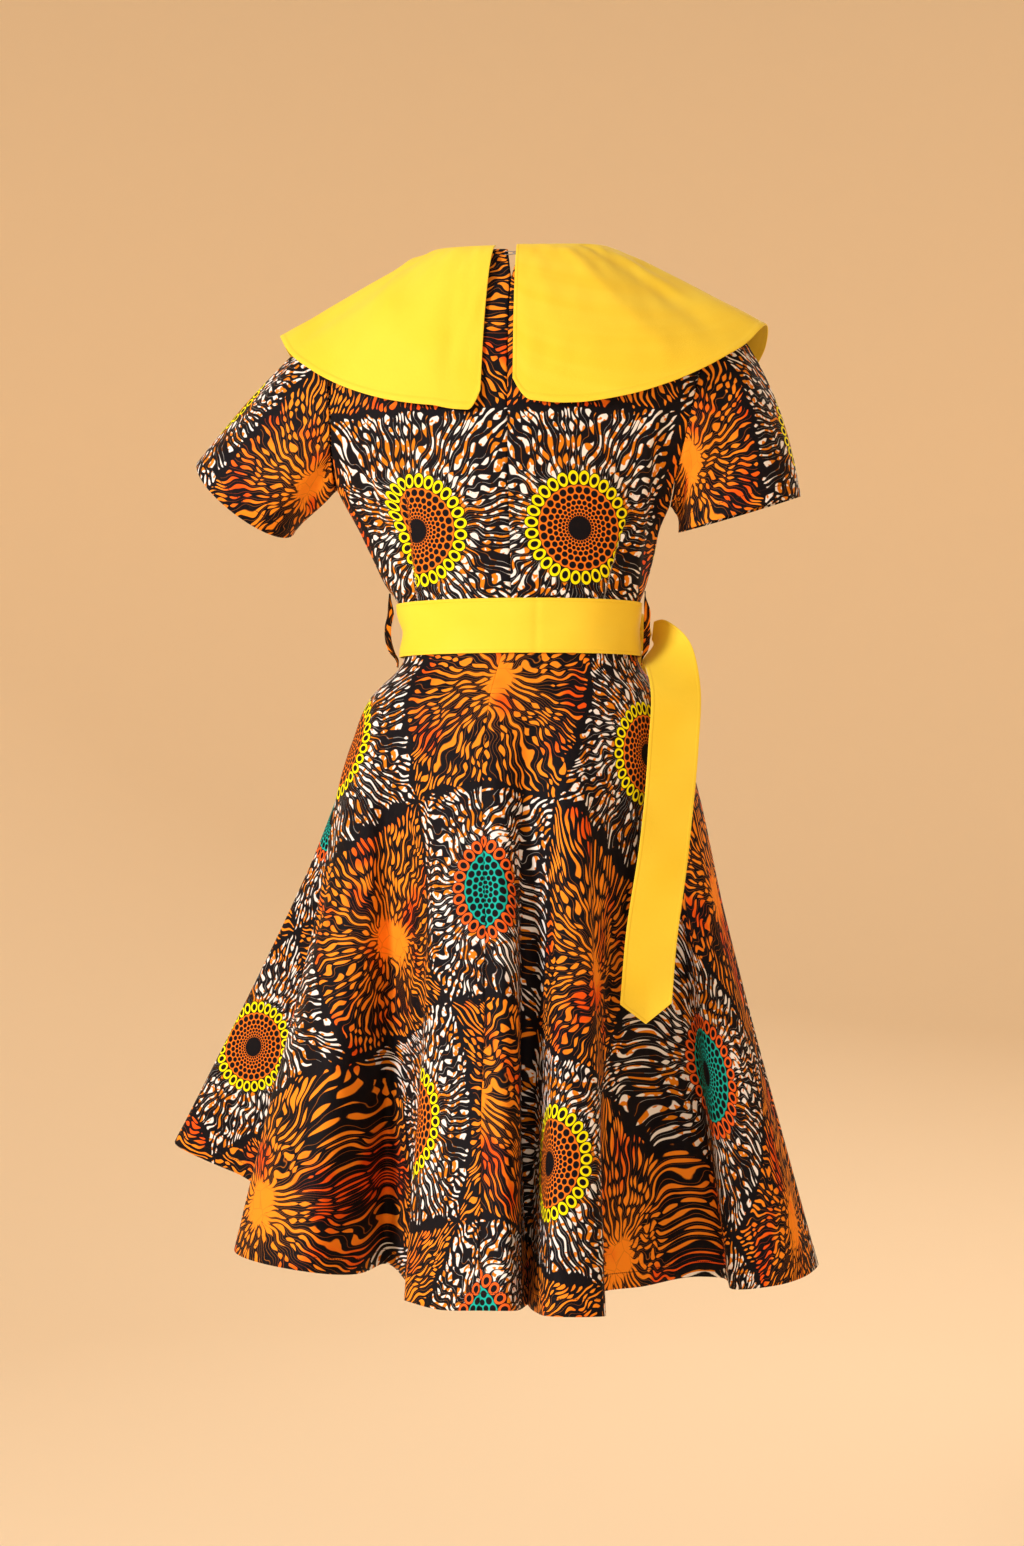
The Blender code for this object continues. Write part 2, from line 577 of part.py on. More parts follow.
def build_sash(finish):
    """The band round the waist, its knot and its two hanging ends."""
    around = np.arange(44) / 44
    heights = (BELT_TOP_Z, WAIST_Z, BELT_BOTTOM_Z)
    cloth_wall("belt_band", belt_rings(heights, around), SASH_CLOTH, finish, (0, 0, WAIST_Z),
               closed=True)

    across = (-1.0, 0.0, 1.0)
    for name, table in (("belt_tail_back", BACK_TAIL_ROWS), ("belt_tail_front", FRONT_TAIL_ROWS)):
        grid = ribbon_points(table, np.linspace(0, 1, 15), across)
        cloth_wall(name, grid, SASH_CLOTH, finish, (0, 0, -0.6))

    knot = bmesh.new()
    bmesh.ops.create_uvsphere(knot, u_segments=16, v_segments=10, radius=0.5)
    for vert in knot.verts:
        vert.co = [c * size for c, size in zip(vert.co, KNOT_SIZE)]
    mesh = bpy.data.meshes.new("belt_knot")
    knot.to_mesh(mesh)
    knot.free()
    mesh.shade_smooth()
    mesh.materials.append(finish)
    piece = bpy.data.objects.new("belt_knot", mesh)
    dress.objects.link(piece)
    at = belt_rings((WAIST_Z,), np.array((KNOT_CENTRE_ANGLE / 360,)))[0, 0]
    out = np.array((at[0], at[1], 0.0)) / math.hypot(at[0], at[1])
    piece.location = at + out * (SASH_CLOTH + KNOT_SIZE[1] * 0.5 + KNOT_CLEARANCE)
    piece.rotation_euler = (0, 0, math.atan2(-out[0], out[1]))


def build_carriers(finish):
    """A narrow loop over the sash at each side seam, sewn above it and below it."""
    for side in ("left", "right"):
        sign = side_sign(side)
        stand = CARRIER_STAND_OFF[side]
        top_z = BELT_TOP_Z + CARRIER_END
        top_x = np.interp(top_z, [getattr(row, f"{side}_z") for row in EDGE_ROWS[:3]],
                          [getattr(row, f"{side}_x") for row in EDGE_ROWS[:3]])
        middle = 0.25 if side == "right" else 0.75
        low_x = abs(skirt_points(middle, (WAIST_Z - BELT_BOTTOM_Z + 0.010) / SKIRT_LENGTH)[0])
        belt_x = abs(belt_rings((WAIST_Z,), np.array((middle,)))[0, 0, 0]) + SASH_CLOTH
        stations = np.array((
            (top_x + CARRIER_TOP_CLEARANCE, top_z),
            (top_x + CARRIER_TOP_CLEARANCE, top_z - 0.006),
            (belt_x + 0.006 + stand * 0.5, BELT_TOP_Z - 0.010),
            (belt_x + 0.004 + stand, -0.392),
            (belt_x + 0.004 + stand, -0.404),
            (belt_x + 0.004 + stand * 0.6, -0.418),
            (low_x + CARRIER_LOW_CLEARANCE[side], BELT_BOTTOM_Z - 0.004),
            (low_x + CARRIER_LOW_CLEARANCE[side], BELT_BOTTOM_Z - 0.010)))
        fine = smooth(chord_knots(stations), stations, np.linspace(0, 1, 12))
        grid = np.zeros((len(fine), 2, 3))
        for i, (x, z) in enumerate(fine):
            for j, y in enumerate((-0.5, 0.5)):
                grid[i, j] = (sign * x, SEAM_Y - 0.004 + y * CARRIER_WIDTH, z)
        cloth_wall(f"belt_carrier_{side}", grid, CLOTH, finish, (0, 0, WAIST_Z))


def build_zip(finish):
    """The tape of the concealed zip, behind the centre back seam from the neck to the seat."""
    start = np.interp(BACK_NECK_Z - NECK_VEE_DEPTH - 0.004,
                      [row.back_z for row in CENTRE_ROWS] + [BACK_NECK_Z], bodice_knots("back"))
    up = np.linspace(start, 0, 12)
    share = np.array([level for level in SKIRT_LEVELS if 0 < level < ZIP_SKIRT_SHARE]
                     + [ZIP_SKIRT_SHARE])[:, None]
    columns = [bodice_points("back", "left", (ZIP_ACROSS,), up),
               bodice_points("back", "right", (0.0,), up),
               bodice_points("back", "right", (ZIP_ACROSS,), up)]
    above = np.concatenate(columns, axis=1)
    below = skirt_points(np.array((-ZIP_ACROSS, 0.0, ZIP_ACROSS)) / 4, share)
    grid = move_out(np.concatenate((above, below)), -ZIP_CLOTH - ZIP_CLEARANCE)
    cloth_wall("back_zip", grid, ZIP_CLOTH, finish, (0, 0, -0.3))


for old in list(bpy.data.objects):
    bpy.data.objects.remove(old)
dress = bpy.data.collections.new("ankara_dress")
bpy.context.scene.collection.children.link(dress)

print_cotton = material("print_cotton", PRINT, 0.75)
yellow_cotton = material("yellow_cotton", YELLOW, 0.7)
zip_tape = material("zip_tape", DARK, 0.6)

build_bodice(print_cotton)
build_sleeves(print_cotton)
build_skirt(print_cotton)
build_collar(yellow_cotton)
build_sash(yellow_cotton)
build_carriers(print_cotton)
build_zip(zip_tape)
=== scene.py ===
"""Looks for the ankara wax print dress: fine cloth shells, wax print, sash, collar and studio.

Metres, in the part's frame: +Z up, the back of the dress at -Y, the wearer's right at +X.
"""

from collections import namedtuple
import math

import bmesh
import bpy
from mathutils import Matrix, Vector
import numpy as np


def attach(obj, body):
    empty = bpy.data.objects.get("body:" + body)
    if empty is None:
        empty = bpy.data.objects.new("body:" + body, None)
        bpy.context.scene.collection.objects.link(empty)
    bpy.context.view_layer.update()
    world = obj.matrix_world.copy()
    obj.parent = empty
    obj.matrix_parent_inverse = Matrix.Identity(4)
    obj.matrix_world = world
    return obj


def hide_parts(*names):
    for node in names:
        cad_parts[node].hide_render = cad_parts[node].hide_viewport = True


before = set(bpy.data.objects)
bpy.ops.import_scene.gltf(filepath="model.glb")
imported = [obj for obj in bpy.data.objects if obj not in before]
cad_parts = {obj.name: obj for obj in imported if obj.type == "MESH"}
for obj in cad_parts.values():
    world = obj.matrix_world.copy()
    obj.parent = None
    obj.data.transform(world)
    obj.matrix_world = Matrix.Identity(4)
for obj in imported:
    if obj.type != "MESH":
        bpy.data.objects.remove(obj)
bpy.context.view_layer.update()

# The part's own sizes, as in its source
CLOTH = 0.0012
COLLAR_CLOTH = 0.0018
SASH_CLOTH = 0.0018
ZIP_CLOTH = 0.0010
SEAM_GAP = 0.0003
WAIST_GAP = 0.0008
ARMHOLE_GAP = {"left": 0.0026, "right": 0.0010}
UNDERARM_GAP = 0.0008
NECK_HALF_WIDTH = 0.090
NECK_SIDE_Y = -0.004
NECK_SIDE_Z = -0.001
BACK_NECK_Y = -0.062
BACK_NECK_Z = -0.009
FRONT_NECK_Y = 0.080
FRONT_NECK_Z = -0.080
SHOULDER_TIP = (0.190, -0.012, -0.053)
NECK_VEE_HALF_WIDTH = 0.006
NECK_VEE_DEPTH = 0.033
BUST_APEX = (0.085, -0.235)
BUST_FULLNESS = 0.014
BUST_SPREAD = 0.055
WAIST_Z = -0.397
BELT_TOP_Z = -0.369
BELT_BOTTOM_Z = -0.425
BELT_CLEARANCE = 0.0022
SKIRT_LENGTH = 0.676
FOLD_START = 0.10
FOLD_POWER = 1.10
SEAM_Y = -0.004
HEM_SAMPLES = 720
UNDERARM_ROW = 5
EDGE_SHARPNESS = 8
NECK_SHARE = 0.5
SLIT = {"left": (-0.0180, -0.0265, 0.006), "right": (0.0035, 0.0065, -0.006)}
SLIT_REACH = 0.30
CORNER_REACH = 0.09
CORNER_RISE = 0.055
COLLAR_RISE = 0.0012
COLLAR_CLEARANCE = 0.0026
TAIL_POINT = 0.020
KNOT_CENTRE_ANGLE = 122.0
KNOT_SIZE = (0.050, 0.026, 0.046)
KNOT_CLEARANCE = 0.0008
CARRIER_WIDTH = 0.007
CARRIER_END = 0.012
CARRIER_TOP_CLEARANCE = 0.0020
CARRIER_LOW_CLEARANCE = {"left": 0.0041, "right": 0.0028}
CARRIER_STAND_OFF = {"left": 0.0095, "right": 0.0030}
CARRIER_TWIST = {"left": 62.0, "right": 72.0}
ZIP_ACROSS = 0.05
ZIP_TOOTH_PITCH = 0.0015
ZIP_TOOTH_WIDTH = 0.0048
ZIP_TOOTH_RADIUS = 0.00045
WIRE_RADIUS = 0.00045
HOOK_UP = 0.985
HOOK_REACH = {"left": 0.0075, "right": 0.0050}
ZIP_CLEARANCE = 0.0014
ZIP_SKIRT_SHARE = 0.24

EdgeRow = namedtuple(
    "EdgeRow", "name left_x left_z right_x right_z back_y front_y front_inset wrap")
EDGE_ROWS = (
    EdgeRow("waist", 0.1225, -0.397, 0.1215, -0.397, -0.004, -0.004, 0.000, 90.0),
    EdgeRow("belt top", 0.1280, -0.369, 0.1245, -0.369, -0.004, -0.004, 0.000, 90.0),
    EdgeRow("above belt", 0.1415, -0.349, 0.1315, -0.349, -0.005, -0.005, 0.000, 90.0),
    EdgeRow("ribs", 0.1575, -0.317, 0.1400, -0.317, -0.006, -0.006, 0.000, 90.0),
    EdgeRow("low chest", 0.1705, -0.291, 0.1450, -0.294, -0.006, -0.006, 0.000, 88.0),
    EdgeRow("underarm", 0.1955, -0.246, 0.1560, -0.268, -0.006, -0.006, 0.000, 82.0),
    EdgeRow("armhole low", 0.1925, -0.218, 0.1660, -0.236, -0.044, 0.040, 0.008, 66.0),
    EdgeRow("armhole middle", 0.1905, -0.180, 0.1800, -0.182, -0.062, 0.058, 0.020, 56.0),
    EdgeRow("shoulder blade", 0.1915, -0.135, 0.1900, -0.135, -0.060, 0.054, 0.022, 50.0),
    EdgeRow("armhole high", 0.1915, -0.090, 0.1915, -0.090, -0.042, 0.032, 0.010, 50.0),
)
CentreRow = namedtuple("CentreRow", "name back_y back_z front_y front_z")
CENTRE_ROWS = (
    CentreRow("waist", -0.084, -0.397, 0.094, -0.397),
    CentreRow("belt top", -0.085, -0.370, 0.096, -0.370),
    CentreRow("above belt", -0.087, -0.351, 0.100, -0.350),
    CentreRow("ribs", -0.092, -0.319, 0.106, -0.318),
    CentreRow("low chest", -0.098, -0.291, 0.110, -0.288),
    CentreRow("underarm", -0.107, -0.255, 0.113, -0.252),
    CentreRow("armhole low", -0.111, -0.222, 0.112, -0.222),
    CentreRow("armhole middle", -0.114, -0.176, 0.107, -0.188),
    CentreRow("shoulder blade", -0.112, -0.128, 0.099, -0.152),
    CentreRow("armhole high", -0.100, -0.078, 0.090, -0.116),
)
SleeveSize = namedtuple("SleeveSize", "hem_centre to_outer to_front top_start low_start top_end low_end")
SLEEVES = {
    "left": SleeveSize((-0.3020, 0.022, -0.2500), (-0.0490, 0.0, 0.0415), (0.008, 0.052, 0.016),
                       (-0.150, 0.0, -0.125), (-0.045, 0.0, -0.030),
                       (-0.125, 0.0, -0.160), (-0.030, 0.0, -0.045)),
    "right": SleeveSize((0.2285, 0.014, -0.2760), (0.0625, 0.0, 0.0180), (0.002, 0.054, 0.006),
                        (0.150, 0.0, -0.070), (0.032, 0.0, -0.010),
                        (0.035, 0.0, -0.250), (0.004, 0.0, -0.050)),
}
GirthRow = namedtuple("GirthRow", "name share left_x right_x back_y front_y turn")
SKIRT_ROWS = (
    GirthRow("waist", 0.00, 0.1225, 0.1215, -0.084, 0.094, 0.0),
    GirthRow("belt bottom", 0.054, 0.1250, 0.1240, -0.087, 0.097, -5.0),
    GirthRow("upper hip", 0.105, 0.1570, 0.1500, -0.104, 0.112, -6.5),
    GirthRow("hip", 0.18, 0.1790, 0.1690, -0.119, 0.124, -7.0),
    GirthRow("thigh", 0.45, 0.2170, 0.2080, -0.157, 0.166, -4.5),
    GirthRow("hem", 1.00, 0.3050, 0.2950, -0.235, 0.262, -1.4),
)
HemRow = namedtuple("HemRow", "name x y low")
HEM_ROWS = (
    HemRow("centre back", -0.006, -0.263, 0.002),
    HemRow("back flute corner", 0.021, -0.272, 0.002),
    HemRow("back flute flank", 0.026, -0.236, 0.000),
    HemRow("centre valley", 0.030, -0.186, -0.004),
    HemRow("rising flank", 0.044, -0.236, 0.003),
    HemRow("right flute", 0.070, -0.284, 0.010),
    HemRow("right flute corner", 0.106, -0.272, 0.010),
    HemRow("right flute flank", 0.102, -0.215, 0.004),
    HemRow("right valley", 0.097, -0.152, -0.010),
    HemRow("flat panel", 0.133, -0.110, -0.011),
    HemRow("flat panel end", 0.193, -0.060, -0.010),
    HemRow("small valley", 0.212, -0.066, -0.008),
    HemRow("side flute rise", 0.228, -0.116, 0.000),
    HemRow("side flute", 0.271, -0.110, 0.004),
    HemRow("right side tip", 0.309, -0.045, 0.002),
    HemRow("right side valley", 0.274, 0.042, 0.000),
    HemRow("right front crest", 0.296, 0.132, 0.000),
    HemRow("right front valley", 0.226, 0.178, 0.000),
    HemRow("front right crest", 0.190, 0.300, 0.000),
    HemRow("front right valley", 0.104, 0.250, 0.000),
    HemRow("front crest", 0.018, 0.330, 0.000),
    HemRow("front valley", -0.062, 0.248, 0.000),
    HemRow("front left crest", -0.164, 0.322, 0.000),
    HemRow("front left valley", -0.245, 0.235, 0.000),
    HemRow("lifted wing flank", -0.352, 0.262, -0.006),
    HemRow("lifted wing", -0.422, 0.172, -0.010),
    HemRow("lifted wing return", -0.336, 0.152, -0.018),
    HemRow("left side valley", -0.264, 0.078, -0.012),
    HemRow("left side edge", -0.302, -0.018, 0.004),
    HemRow("left flute", -0.262, -0.084, -0.004),
    HemRow("left flute end", -0.203, -0.114, -0.010),
    HemRow("left valley rise", -0.166, -0.072, -0.006),
    HemRow("left valley", -0.142, -0.012, -0.004),
    HemRow("wedge", -0.104, -0.078, 0.000),
    HemRow("wedge end", -0.086, -0.140, 0.002),
    HemRow("back flute edge", -0.087, -0.204, -0.002),
    HemRow("back flute", -0.044, -0.246, 0.003),
)
CollarRow = namedtuple("CollarRow", "name share x y z")
COLLAR_ROWS = (
    CollarRow("centre back", 0.00, 0.000, -0.1220, -0.1780),
    CollarRow("back", 0.25, 0.060, -0.1210, -0.1790),
    CollarRow("shoulder blade", 0.45, 0.122, -0.1140, -0.1700),
    CollarRow("back side", 0.62, 0.1725, -0.0960, -0.1520),
    CollarRow("behind tip", 0.78, 0.212, -0.0720, -0.1290),
    CollarRow("near tip", 0.90, 0.238, -0.0450, -0.1080),
    CollarRow("tip", 1.00, 0.2570, -0.0060, -0.0830),
    CollarRow("before tip", 1.10, 0.2540, 0.0420, -0.1000),
    CollarRow("front tip", 1.22, 0.230, 0.0820, -0.1290),
    CollarRow("front side", 1.38, 0.186, 0.1130, -0.1660),
    CollarRow("chest", 1.55, 0.125, 0.1340, -0.2050),
    CollarRow("front", 1.78, 0.062, 0.1420, -0.2340),
    CollarRow("centre front", 2.00, 0.000, 0.1440, -0.2450),
)
RibbonRow = namedtuple("RibbonRow", "name x y z width heading slope")
BACK_TAIL_ROWS = (
    RibbonRow("at the knot", 0.1372, 0.0446, -0.3950, 0.022, -75.0, 60.0),
    RibbonRow("leaving", 0.1440, 0.0280, -0.3980, 0.034, -60.0, 50.0),
    RibbonRow("turning", 0.1500, 0.0060, -0.4130, 0.050, -18.0, 32.0),
    RibbonRow("turned", 0.1600, -0.0250, -0.4360, 0.053, 14.0, 14.0),
    RibbonRow("hanging", 0.1650, -0.0450, -0.4620, 0.055, 24.0, 4.0),
    RibbonRow("hip", 0.1640, -0.0690, -0.5200, 0.055, 27.0, 0.0),
    RibbonRow("thigh", 0.1560, -0.0990, -0.6240, 0.055, 27.0, 0.0),
    RibbonRow("low", 0.1450, -0.1250, -0.7130, 0.055, 25.0, 0.0),
    RibbonRow("end", 0.1410, -0.1430, -0.7740, 0.055, 24.0, 0.0),
)
FRONT_TAIL_ROWS = (
    RibbonRow("at the knot", 0.1134, 0.0779, -0.4122, 0.024, 130.0, 10.0),
    RibbonRow("leaving", 0.1130, 0.1060, -0.4440, 0.040, 138.0, 5.0),
    RibbonRow("hanging", 0.1160, 0.1240, -0.4850, 0.054, 146.0, 0.0),
    RibbonRow("hip", 0.1180, 0.1400, -0.5500, 0.056, 150.0, 0.0),
    RibbonRow("thigh", 0.1200, 0.1680, -0.6400, 0.056, 152.0, 0.0),
    RibbonRow("low", 0.1220, 0.1960, -0.7200, 0.056, 153.0, 0.0),
    RibbonRow("end", 0.1240, 0.2160, -0.7780, 0.056, 153.0, 0.0),
)

# The cloth itself is thinner than the part's wall and lies in the middle of it.
PRINT_THICKNESS = 0.0006
DOUBLE_THICKNESS = 0.0014
CARRIER_THICKNESS = 0.0008
KNOT_THICKNESS = 0.0004
TAPE_THICKNESS = 0.0005
ROLLED_EDGE = 0.00055
HEM_DEPTH = 0.016
# Rough lengths that turn shares of a panel into metres
BODICE_HEIGHT = 0.40
BODICE_HALF_GIRTH = 0.36
BODICE_HALF_WIDTH = 0.2
WAIST_GIRTH = 0.72
GIRTH_GROWTH = 1.1
HEM_GIRTH = 2.9
COLLAR_RUN = 0.25
COLLAR_DEPTH = 0.18
COLLAR_SLIT_LENGTH = 0.2

# The print: square tiles, a burst in each, and a roundel in every other one.
TILE = 0.2095
ROUNDEL_RADIUS = 0.0565
DISC_RADIUS = 0.0425
PUPIL_RADIUS = 0.0125
LOOPS = 28
STRANDS = 32
STRAND_WIDTH = 0.0029
OVAL_LENGTH = 0.0150
WAIST_RADIUS = 0.191
# How far the strokes sway from side to side, and how often in a metre
FINE_SWAY = 0.0150
FINE_SWAY_SCALE = 58.0
WIDE_SWAY = 0.026
WIDE_SWAY_SCALE = 19.0
THREADS = 9000.0
BLACK = "#0E0A10"
ORANGE = "#FF931F"
DEEP_ORANGE = "#F4560A"
CRACKLE_BROWN = "#B5661A"
WHITE = "#F4F0EE"
AMBER = "#E2820F"
TEAL = "#12B5A8"
DISC_ORANGE = "#F07A18"
LOOP_ORANGE = "#F0641E"
LEMON = "#FFF000"
THREAD = "#2A1A18"

# Where each panel is cut from the printed cloth: the place on the panel, across and up in
# metres, that has the middle of a tile. A bodice's places are from its centre line and up
# the dress, a skirt's from its waist, and a sleeve's from its top and its hem.
PrintPlace = namedtuple("PrintPlace", "across up column row")
PRINT_PLACES = {
    "bodice_back_left": PrintPlace(-0.1000, -0.2990, 1, 1),
    "bodice_back_right": PrintPlace(0.0720, -0.2990, 1, 1),
    "bodice_front": PrintPlace(0.0000, -0.2700, 0, 1),
    "skirt_back_left": PrintPlace(0.0000, -0.2710, 0, 0),
    "skirt_back_right": PrintPlace(0.0000, -0.2710, 0, 0),
    "skirt_front": PrintPlace(-0.4966, -0.3180, 1, 1),
    "sleeve_left": PrintPlace(0.1730, 0.0700, 0, 1),
    "sleeve_right": PrintPlace(0.1700, 0.0640, 0, 1),
    "belt_carrier_left": PrintPlace(0.0300, 0.1000, 0, 1),
    "belt_carrier_right": PrintPlace(0.0450, 0.0800, 0, 1),
}
# How far round the flat cloth each skirt panel turns, in degrees for a whole round, and how
# that changes along it.
SKIRT_TURNS = {
    "skirt_back_right": (200.0, 150.0),
    "skirt_front": (216.0, 0.0),
    "skirt_back_left": (215.0, -200.0),
}

# The cloth isn't cut exactly to thread, so the print drifts: at a place on the flat panel,
# across and up, it lies that much further across and up.
PrintDrift = namedtuple("PrintDrift", "panel across up by_across by_up")
PRINT_DRIFTS = (
    PrintDrift("skirt_back_right", 0.200, -0.316, -0.0105, 0.045),
    PrintDrift("skirt_back_right", 0.1685, -0.515, 0.018, 0.0345),
    PrintDrift("skirt_back_right", 0.4540, -0.500, -0.034, 0.0440),
    PrintDrift("skirt_back_right", 0.4765, -0.243, -0.0720, -0.0276),
    PrintDrift("skirt_back_right", 0.5800, -0.330, -0.1150, -0.0400),
    PrintDrift("skirt_back_right", 0.110, -0.060, 0.000, 0.000),
    PrintDrift("skirt_back_left", -0.190, -0.291, -0.020, 0.020),
    PrintDrift("skirt_back_left", -0.177, -0.511, -0.1200, 0.031),
    PrintDrift("skirt_back_left", -0.080, -0.500, -0.1050, 0.010),
    PrintDrift("skirt_back_left", -0.4400, -0.490, 0.0250, 0.012),
    PrintDrift("skirt_back_left", -0.110, -0.060, -0.012, 0.000),
)
DRIFT_REACH = 0.085
BODICE_PRINT_RISE = 0.014
SEAM_DRIFT = {"skirt_back_right": 0.019, "skirt_back_left": -0.020, "skirt_front": 0.0}
SEAM_DRIFT_WEIGHT = 0.12

# Creases: a line of points as x and z, how wide it is, and how far it stands out or, below
# zero, sinks in. They lie on the back or the front of the dress.
Crease = namedtuple("Crease", "face width height line")
BODICE_CREASES = (
    Crease("back", 0.0060, 0.0034, ((0.151, -0.174), (0.139, -0.212), (0.131, -0.270), (0.121, -0.357))),
    Crease("back", 0.0070, -0.0040, ((0.163, -0.180), (0.151, -0.215), (0.142, -0.275), (0.131, -0.350))),
    Crease("back", 0.0050, 0.0030, ((-0.150, -0.190), (-0.140, -0.240), (-0.128, -0.297))),
    Crease("back", 0.0060, -0.0026, ((-0.161, -0.195), (-0.151, -0.240), (-0.139, -0.300))),
    Crease("back", 0.0060, -0.0020, ((-0.020, -0.345), (-0.060, -0.352), (-0.110, -0.347))),
    Crease("back", 0.0060, 0.0016, ((0.020, -0.338), (0.050, -0.347), (0.088, -0.345))),
    Crease("back", 0.0090, -0.0018, ((0.060, -0.185), (0.100, -0.215), (0.120, -0.255))),
    Crease("back", 0.0090, -0.0018, ((-0.070, -0.190), (-0.100, -0.215), (-0.118, -0.262))),
    Crease("back", 0.0080, 0.0014, ((0.012, -0.215), (0.020, -0.270), (0.015, -0.320))),
    Crease("front", 0.0070, -0.0030, ((0.150, -0.190), (0.120, -0.230), (0.100, -0.250))),
    Crease("front", 0.0070, -0.0028, ((-0.155, -0.185), (-0.128, -0.222), (-0.098, -0.244))),
    Crease("front", 0.0080, -0.0022, ((-0.020, -0.330), (0.030, -0.344), (0.100, -0.338))),
    Crease("front", 0.0080, 0.0018, ((-0.100, -0.345), (-0.060, -0.335), (-0.020, -0.347))),
    Crease("front", 0.0100, -0.0020, ((-0.060, -0.200), (-0.015, -0.235), (0.040, -0.215))),
)
# Skirt creases: where they run, as a share round the skirt at the top and the low end and a
# share of the way down, with their width and how far they stand out or sink in.
SkirtCrease = namedtuple("SkirtCrease", "top low start end width height")
SKIRT_CREASES = (
    SkirtCrease(0.000, 0.000, 0.27, 0.70, 0.012, -0.0050),
    SkirtCrease(0.024, 0.020, 0.14, 0.90, 0.011, 0.0050),
    SkirtCrease(0.052, 0.048, 0.12, 0.95, 0.024, -0.0095),
    SkirtCrease(0.100, 0.118, 0.12, 0.75, 0.012, -0.0035),
    SkirtCrease(0.150, 0.170, 0.10, 0.70, 0.014, 0.0030),
    SkirtCrease(0.205, 0.215, 0.16, 0.90, 0.012, -0.0030),
    SkirtCrease(0.960, 0.972, 0.12, 0.62, 0.012, 0.0030),
    SkirtCrease(0.925, 0.905, 0.10, 0.70, 0.015, -0.0040),
    SkirtCrease(0.870, 0.850, 0.12, 0.85, 0.013, 0.0030),
    SkirtCrease(0.815, 0.800, 0.10, 0.72, 0.014, -0.0035),
    SkirtCrease(0.320, 0.330, 0.10, 0.80, 0.014, 0.0035),
    SkirtCrease(0.410, 0.395, 0.12, 0.70, 0.013, -0.0035),
    SkirtCrease(0.480, 0.500, 0.10, 0.85, 0.015, 0.0030),
    SkirtCrease(0.565, 0.580, 0.12, 0.75, 0.014, -0.0040),
    SkirtCrease(0.655, 0.640, 0.10, 0.70, 0.013, 0.0035),
    SkirtCrease(0.715, 0.725, 0.15, 0.90, 0.014, -0.0030),
)
# Darts: where they start and end as x and z, and the cloth that they take in at the waist.
Dart = namedtuple("Dart", "panel top_x top_z low_x low_z intake")
DARTS = (
    Dart("bodice_back_left", -0.1069, -0.262, -0.1000, -0.397, 0.034),
    Dart("bodice_back_right", 0.1130, -0.292, 0.0850, -0.397, 0.030),
    Dart("bodice_front", -0.0900, -0.262, -0.0800, -0.397, 0.026),
    Dart("bodice_front", 0.0880, -0.266, 0.0760, -0.397, 0.028),
)
DART_GROOVE = 0.0012
DART_WIDTH = 0.0022

# Sleeve ripples: how high and how many round it, how they turn down the sleeve, and where along
# it they are strongest. The first lie at the underarm.
SleeveWave = namedtuple("SleeveWave", "height count phase lean middle reach")
SLEEVE_WAVES = (
    SleeveWave(0.0022, 9, 0.0, 2.0, 0.0, 0.35),
    SleeveWave(0.0026, 5, 1.3, 3.0, 0.45, 0.35),
    SleeveWave(0.0010, 13, 4.0, 0.0, 0.0, 0.18),
)
# The centre back seam of the bodice: its groove, and the pucker beside it
SEAM_GROOVE = 0.0008
SEAM_WIDTH = 0.0018
PUCKER_HEIGHT = 0.0006
PUCKER_REACH = 0.008

# Collar creases: start and end, each as a place round the edge and a share of the way out,
# then how far it stands out or sinks in, and its width.
COLLAR_CREASES = (
    (-0.95, 0.30, -0.55, 0.70, 0.0016, 0.030),
    (-0.75, 0.15, -0.95, 0.85, -0.0016, 0.035),
    (-0.40, 0.20, -0.30, 0.90, 0.0012, 0.035),
    (0.35, 0.25, 0.60, 0.85, 0.0016, 0.030),
    (0.55, 0.10, 0.85, 0.75, -0.0016, 0.035),
    (0.80, 0.35, 0.95, 0.90, 0.0014, 0.030),
    (1.25, 0.20, 1.45, 0.85, -0.0020, 0.040),
    (1.70, 0.30, 1.60, 0.95, 0.0016, 0.040),
    (-1.30, 0.20, -1.50, 0.90, -0.0018, 0.040),
    (-1.75, 0.15, -1.85, 0.80, 0.0014, 0.040),
)

# Camera and studio
CAMERA_TURN = 7.0
CAMERA_DISTANCE = 2.37
CAMERA_HEIGHT = -0.554
PHOTO_HEIGHT = 1546
FOCAL_PIXELS = 2250
AXIS_PIXELS_RIGHT = 9
AXIS_PIXELS_DOWN = 7
SENSOR = 36.0
FLOOR_Z = -1.75
FLOOR_RADIUS = 2.6
SWEEP_RADIUS = 2.2
WALL_TOP_Z = 3.6
FLOOR_COLOUR = "#FAE1BD"
SKY_COLOUR = "#FFFAF2"
SKY_STRENGTH = 0.36
LIGHTS_AIM_Z = -0.55
# Name, place, width and watts
LIGHTS = (
    ("key", (-2.5, -2.6, 0.3), 1.0, 104.0),
    ("fill", (1.6, -3.0, 0.0), 2.2, 13.0),
    ("top", (0.0, 0.3, 2.8), 2.4, 14.0),
    ("front", (0.8, 3.0, 0.8), 2.2, 42.0),
)


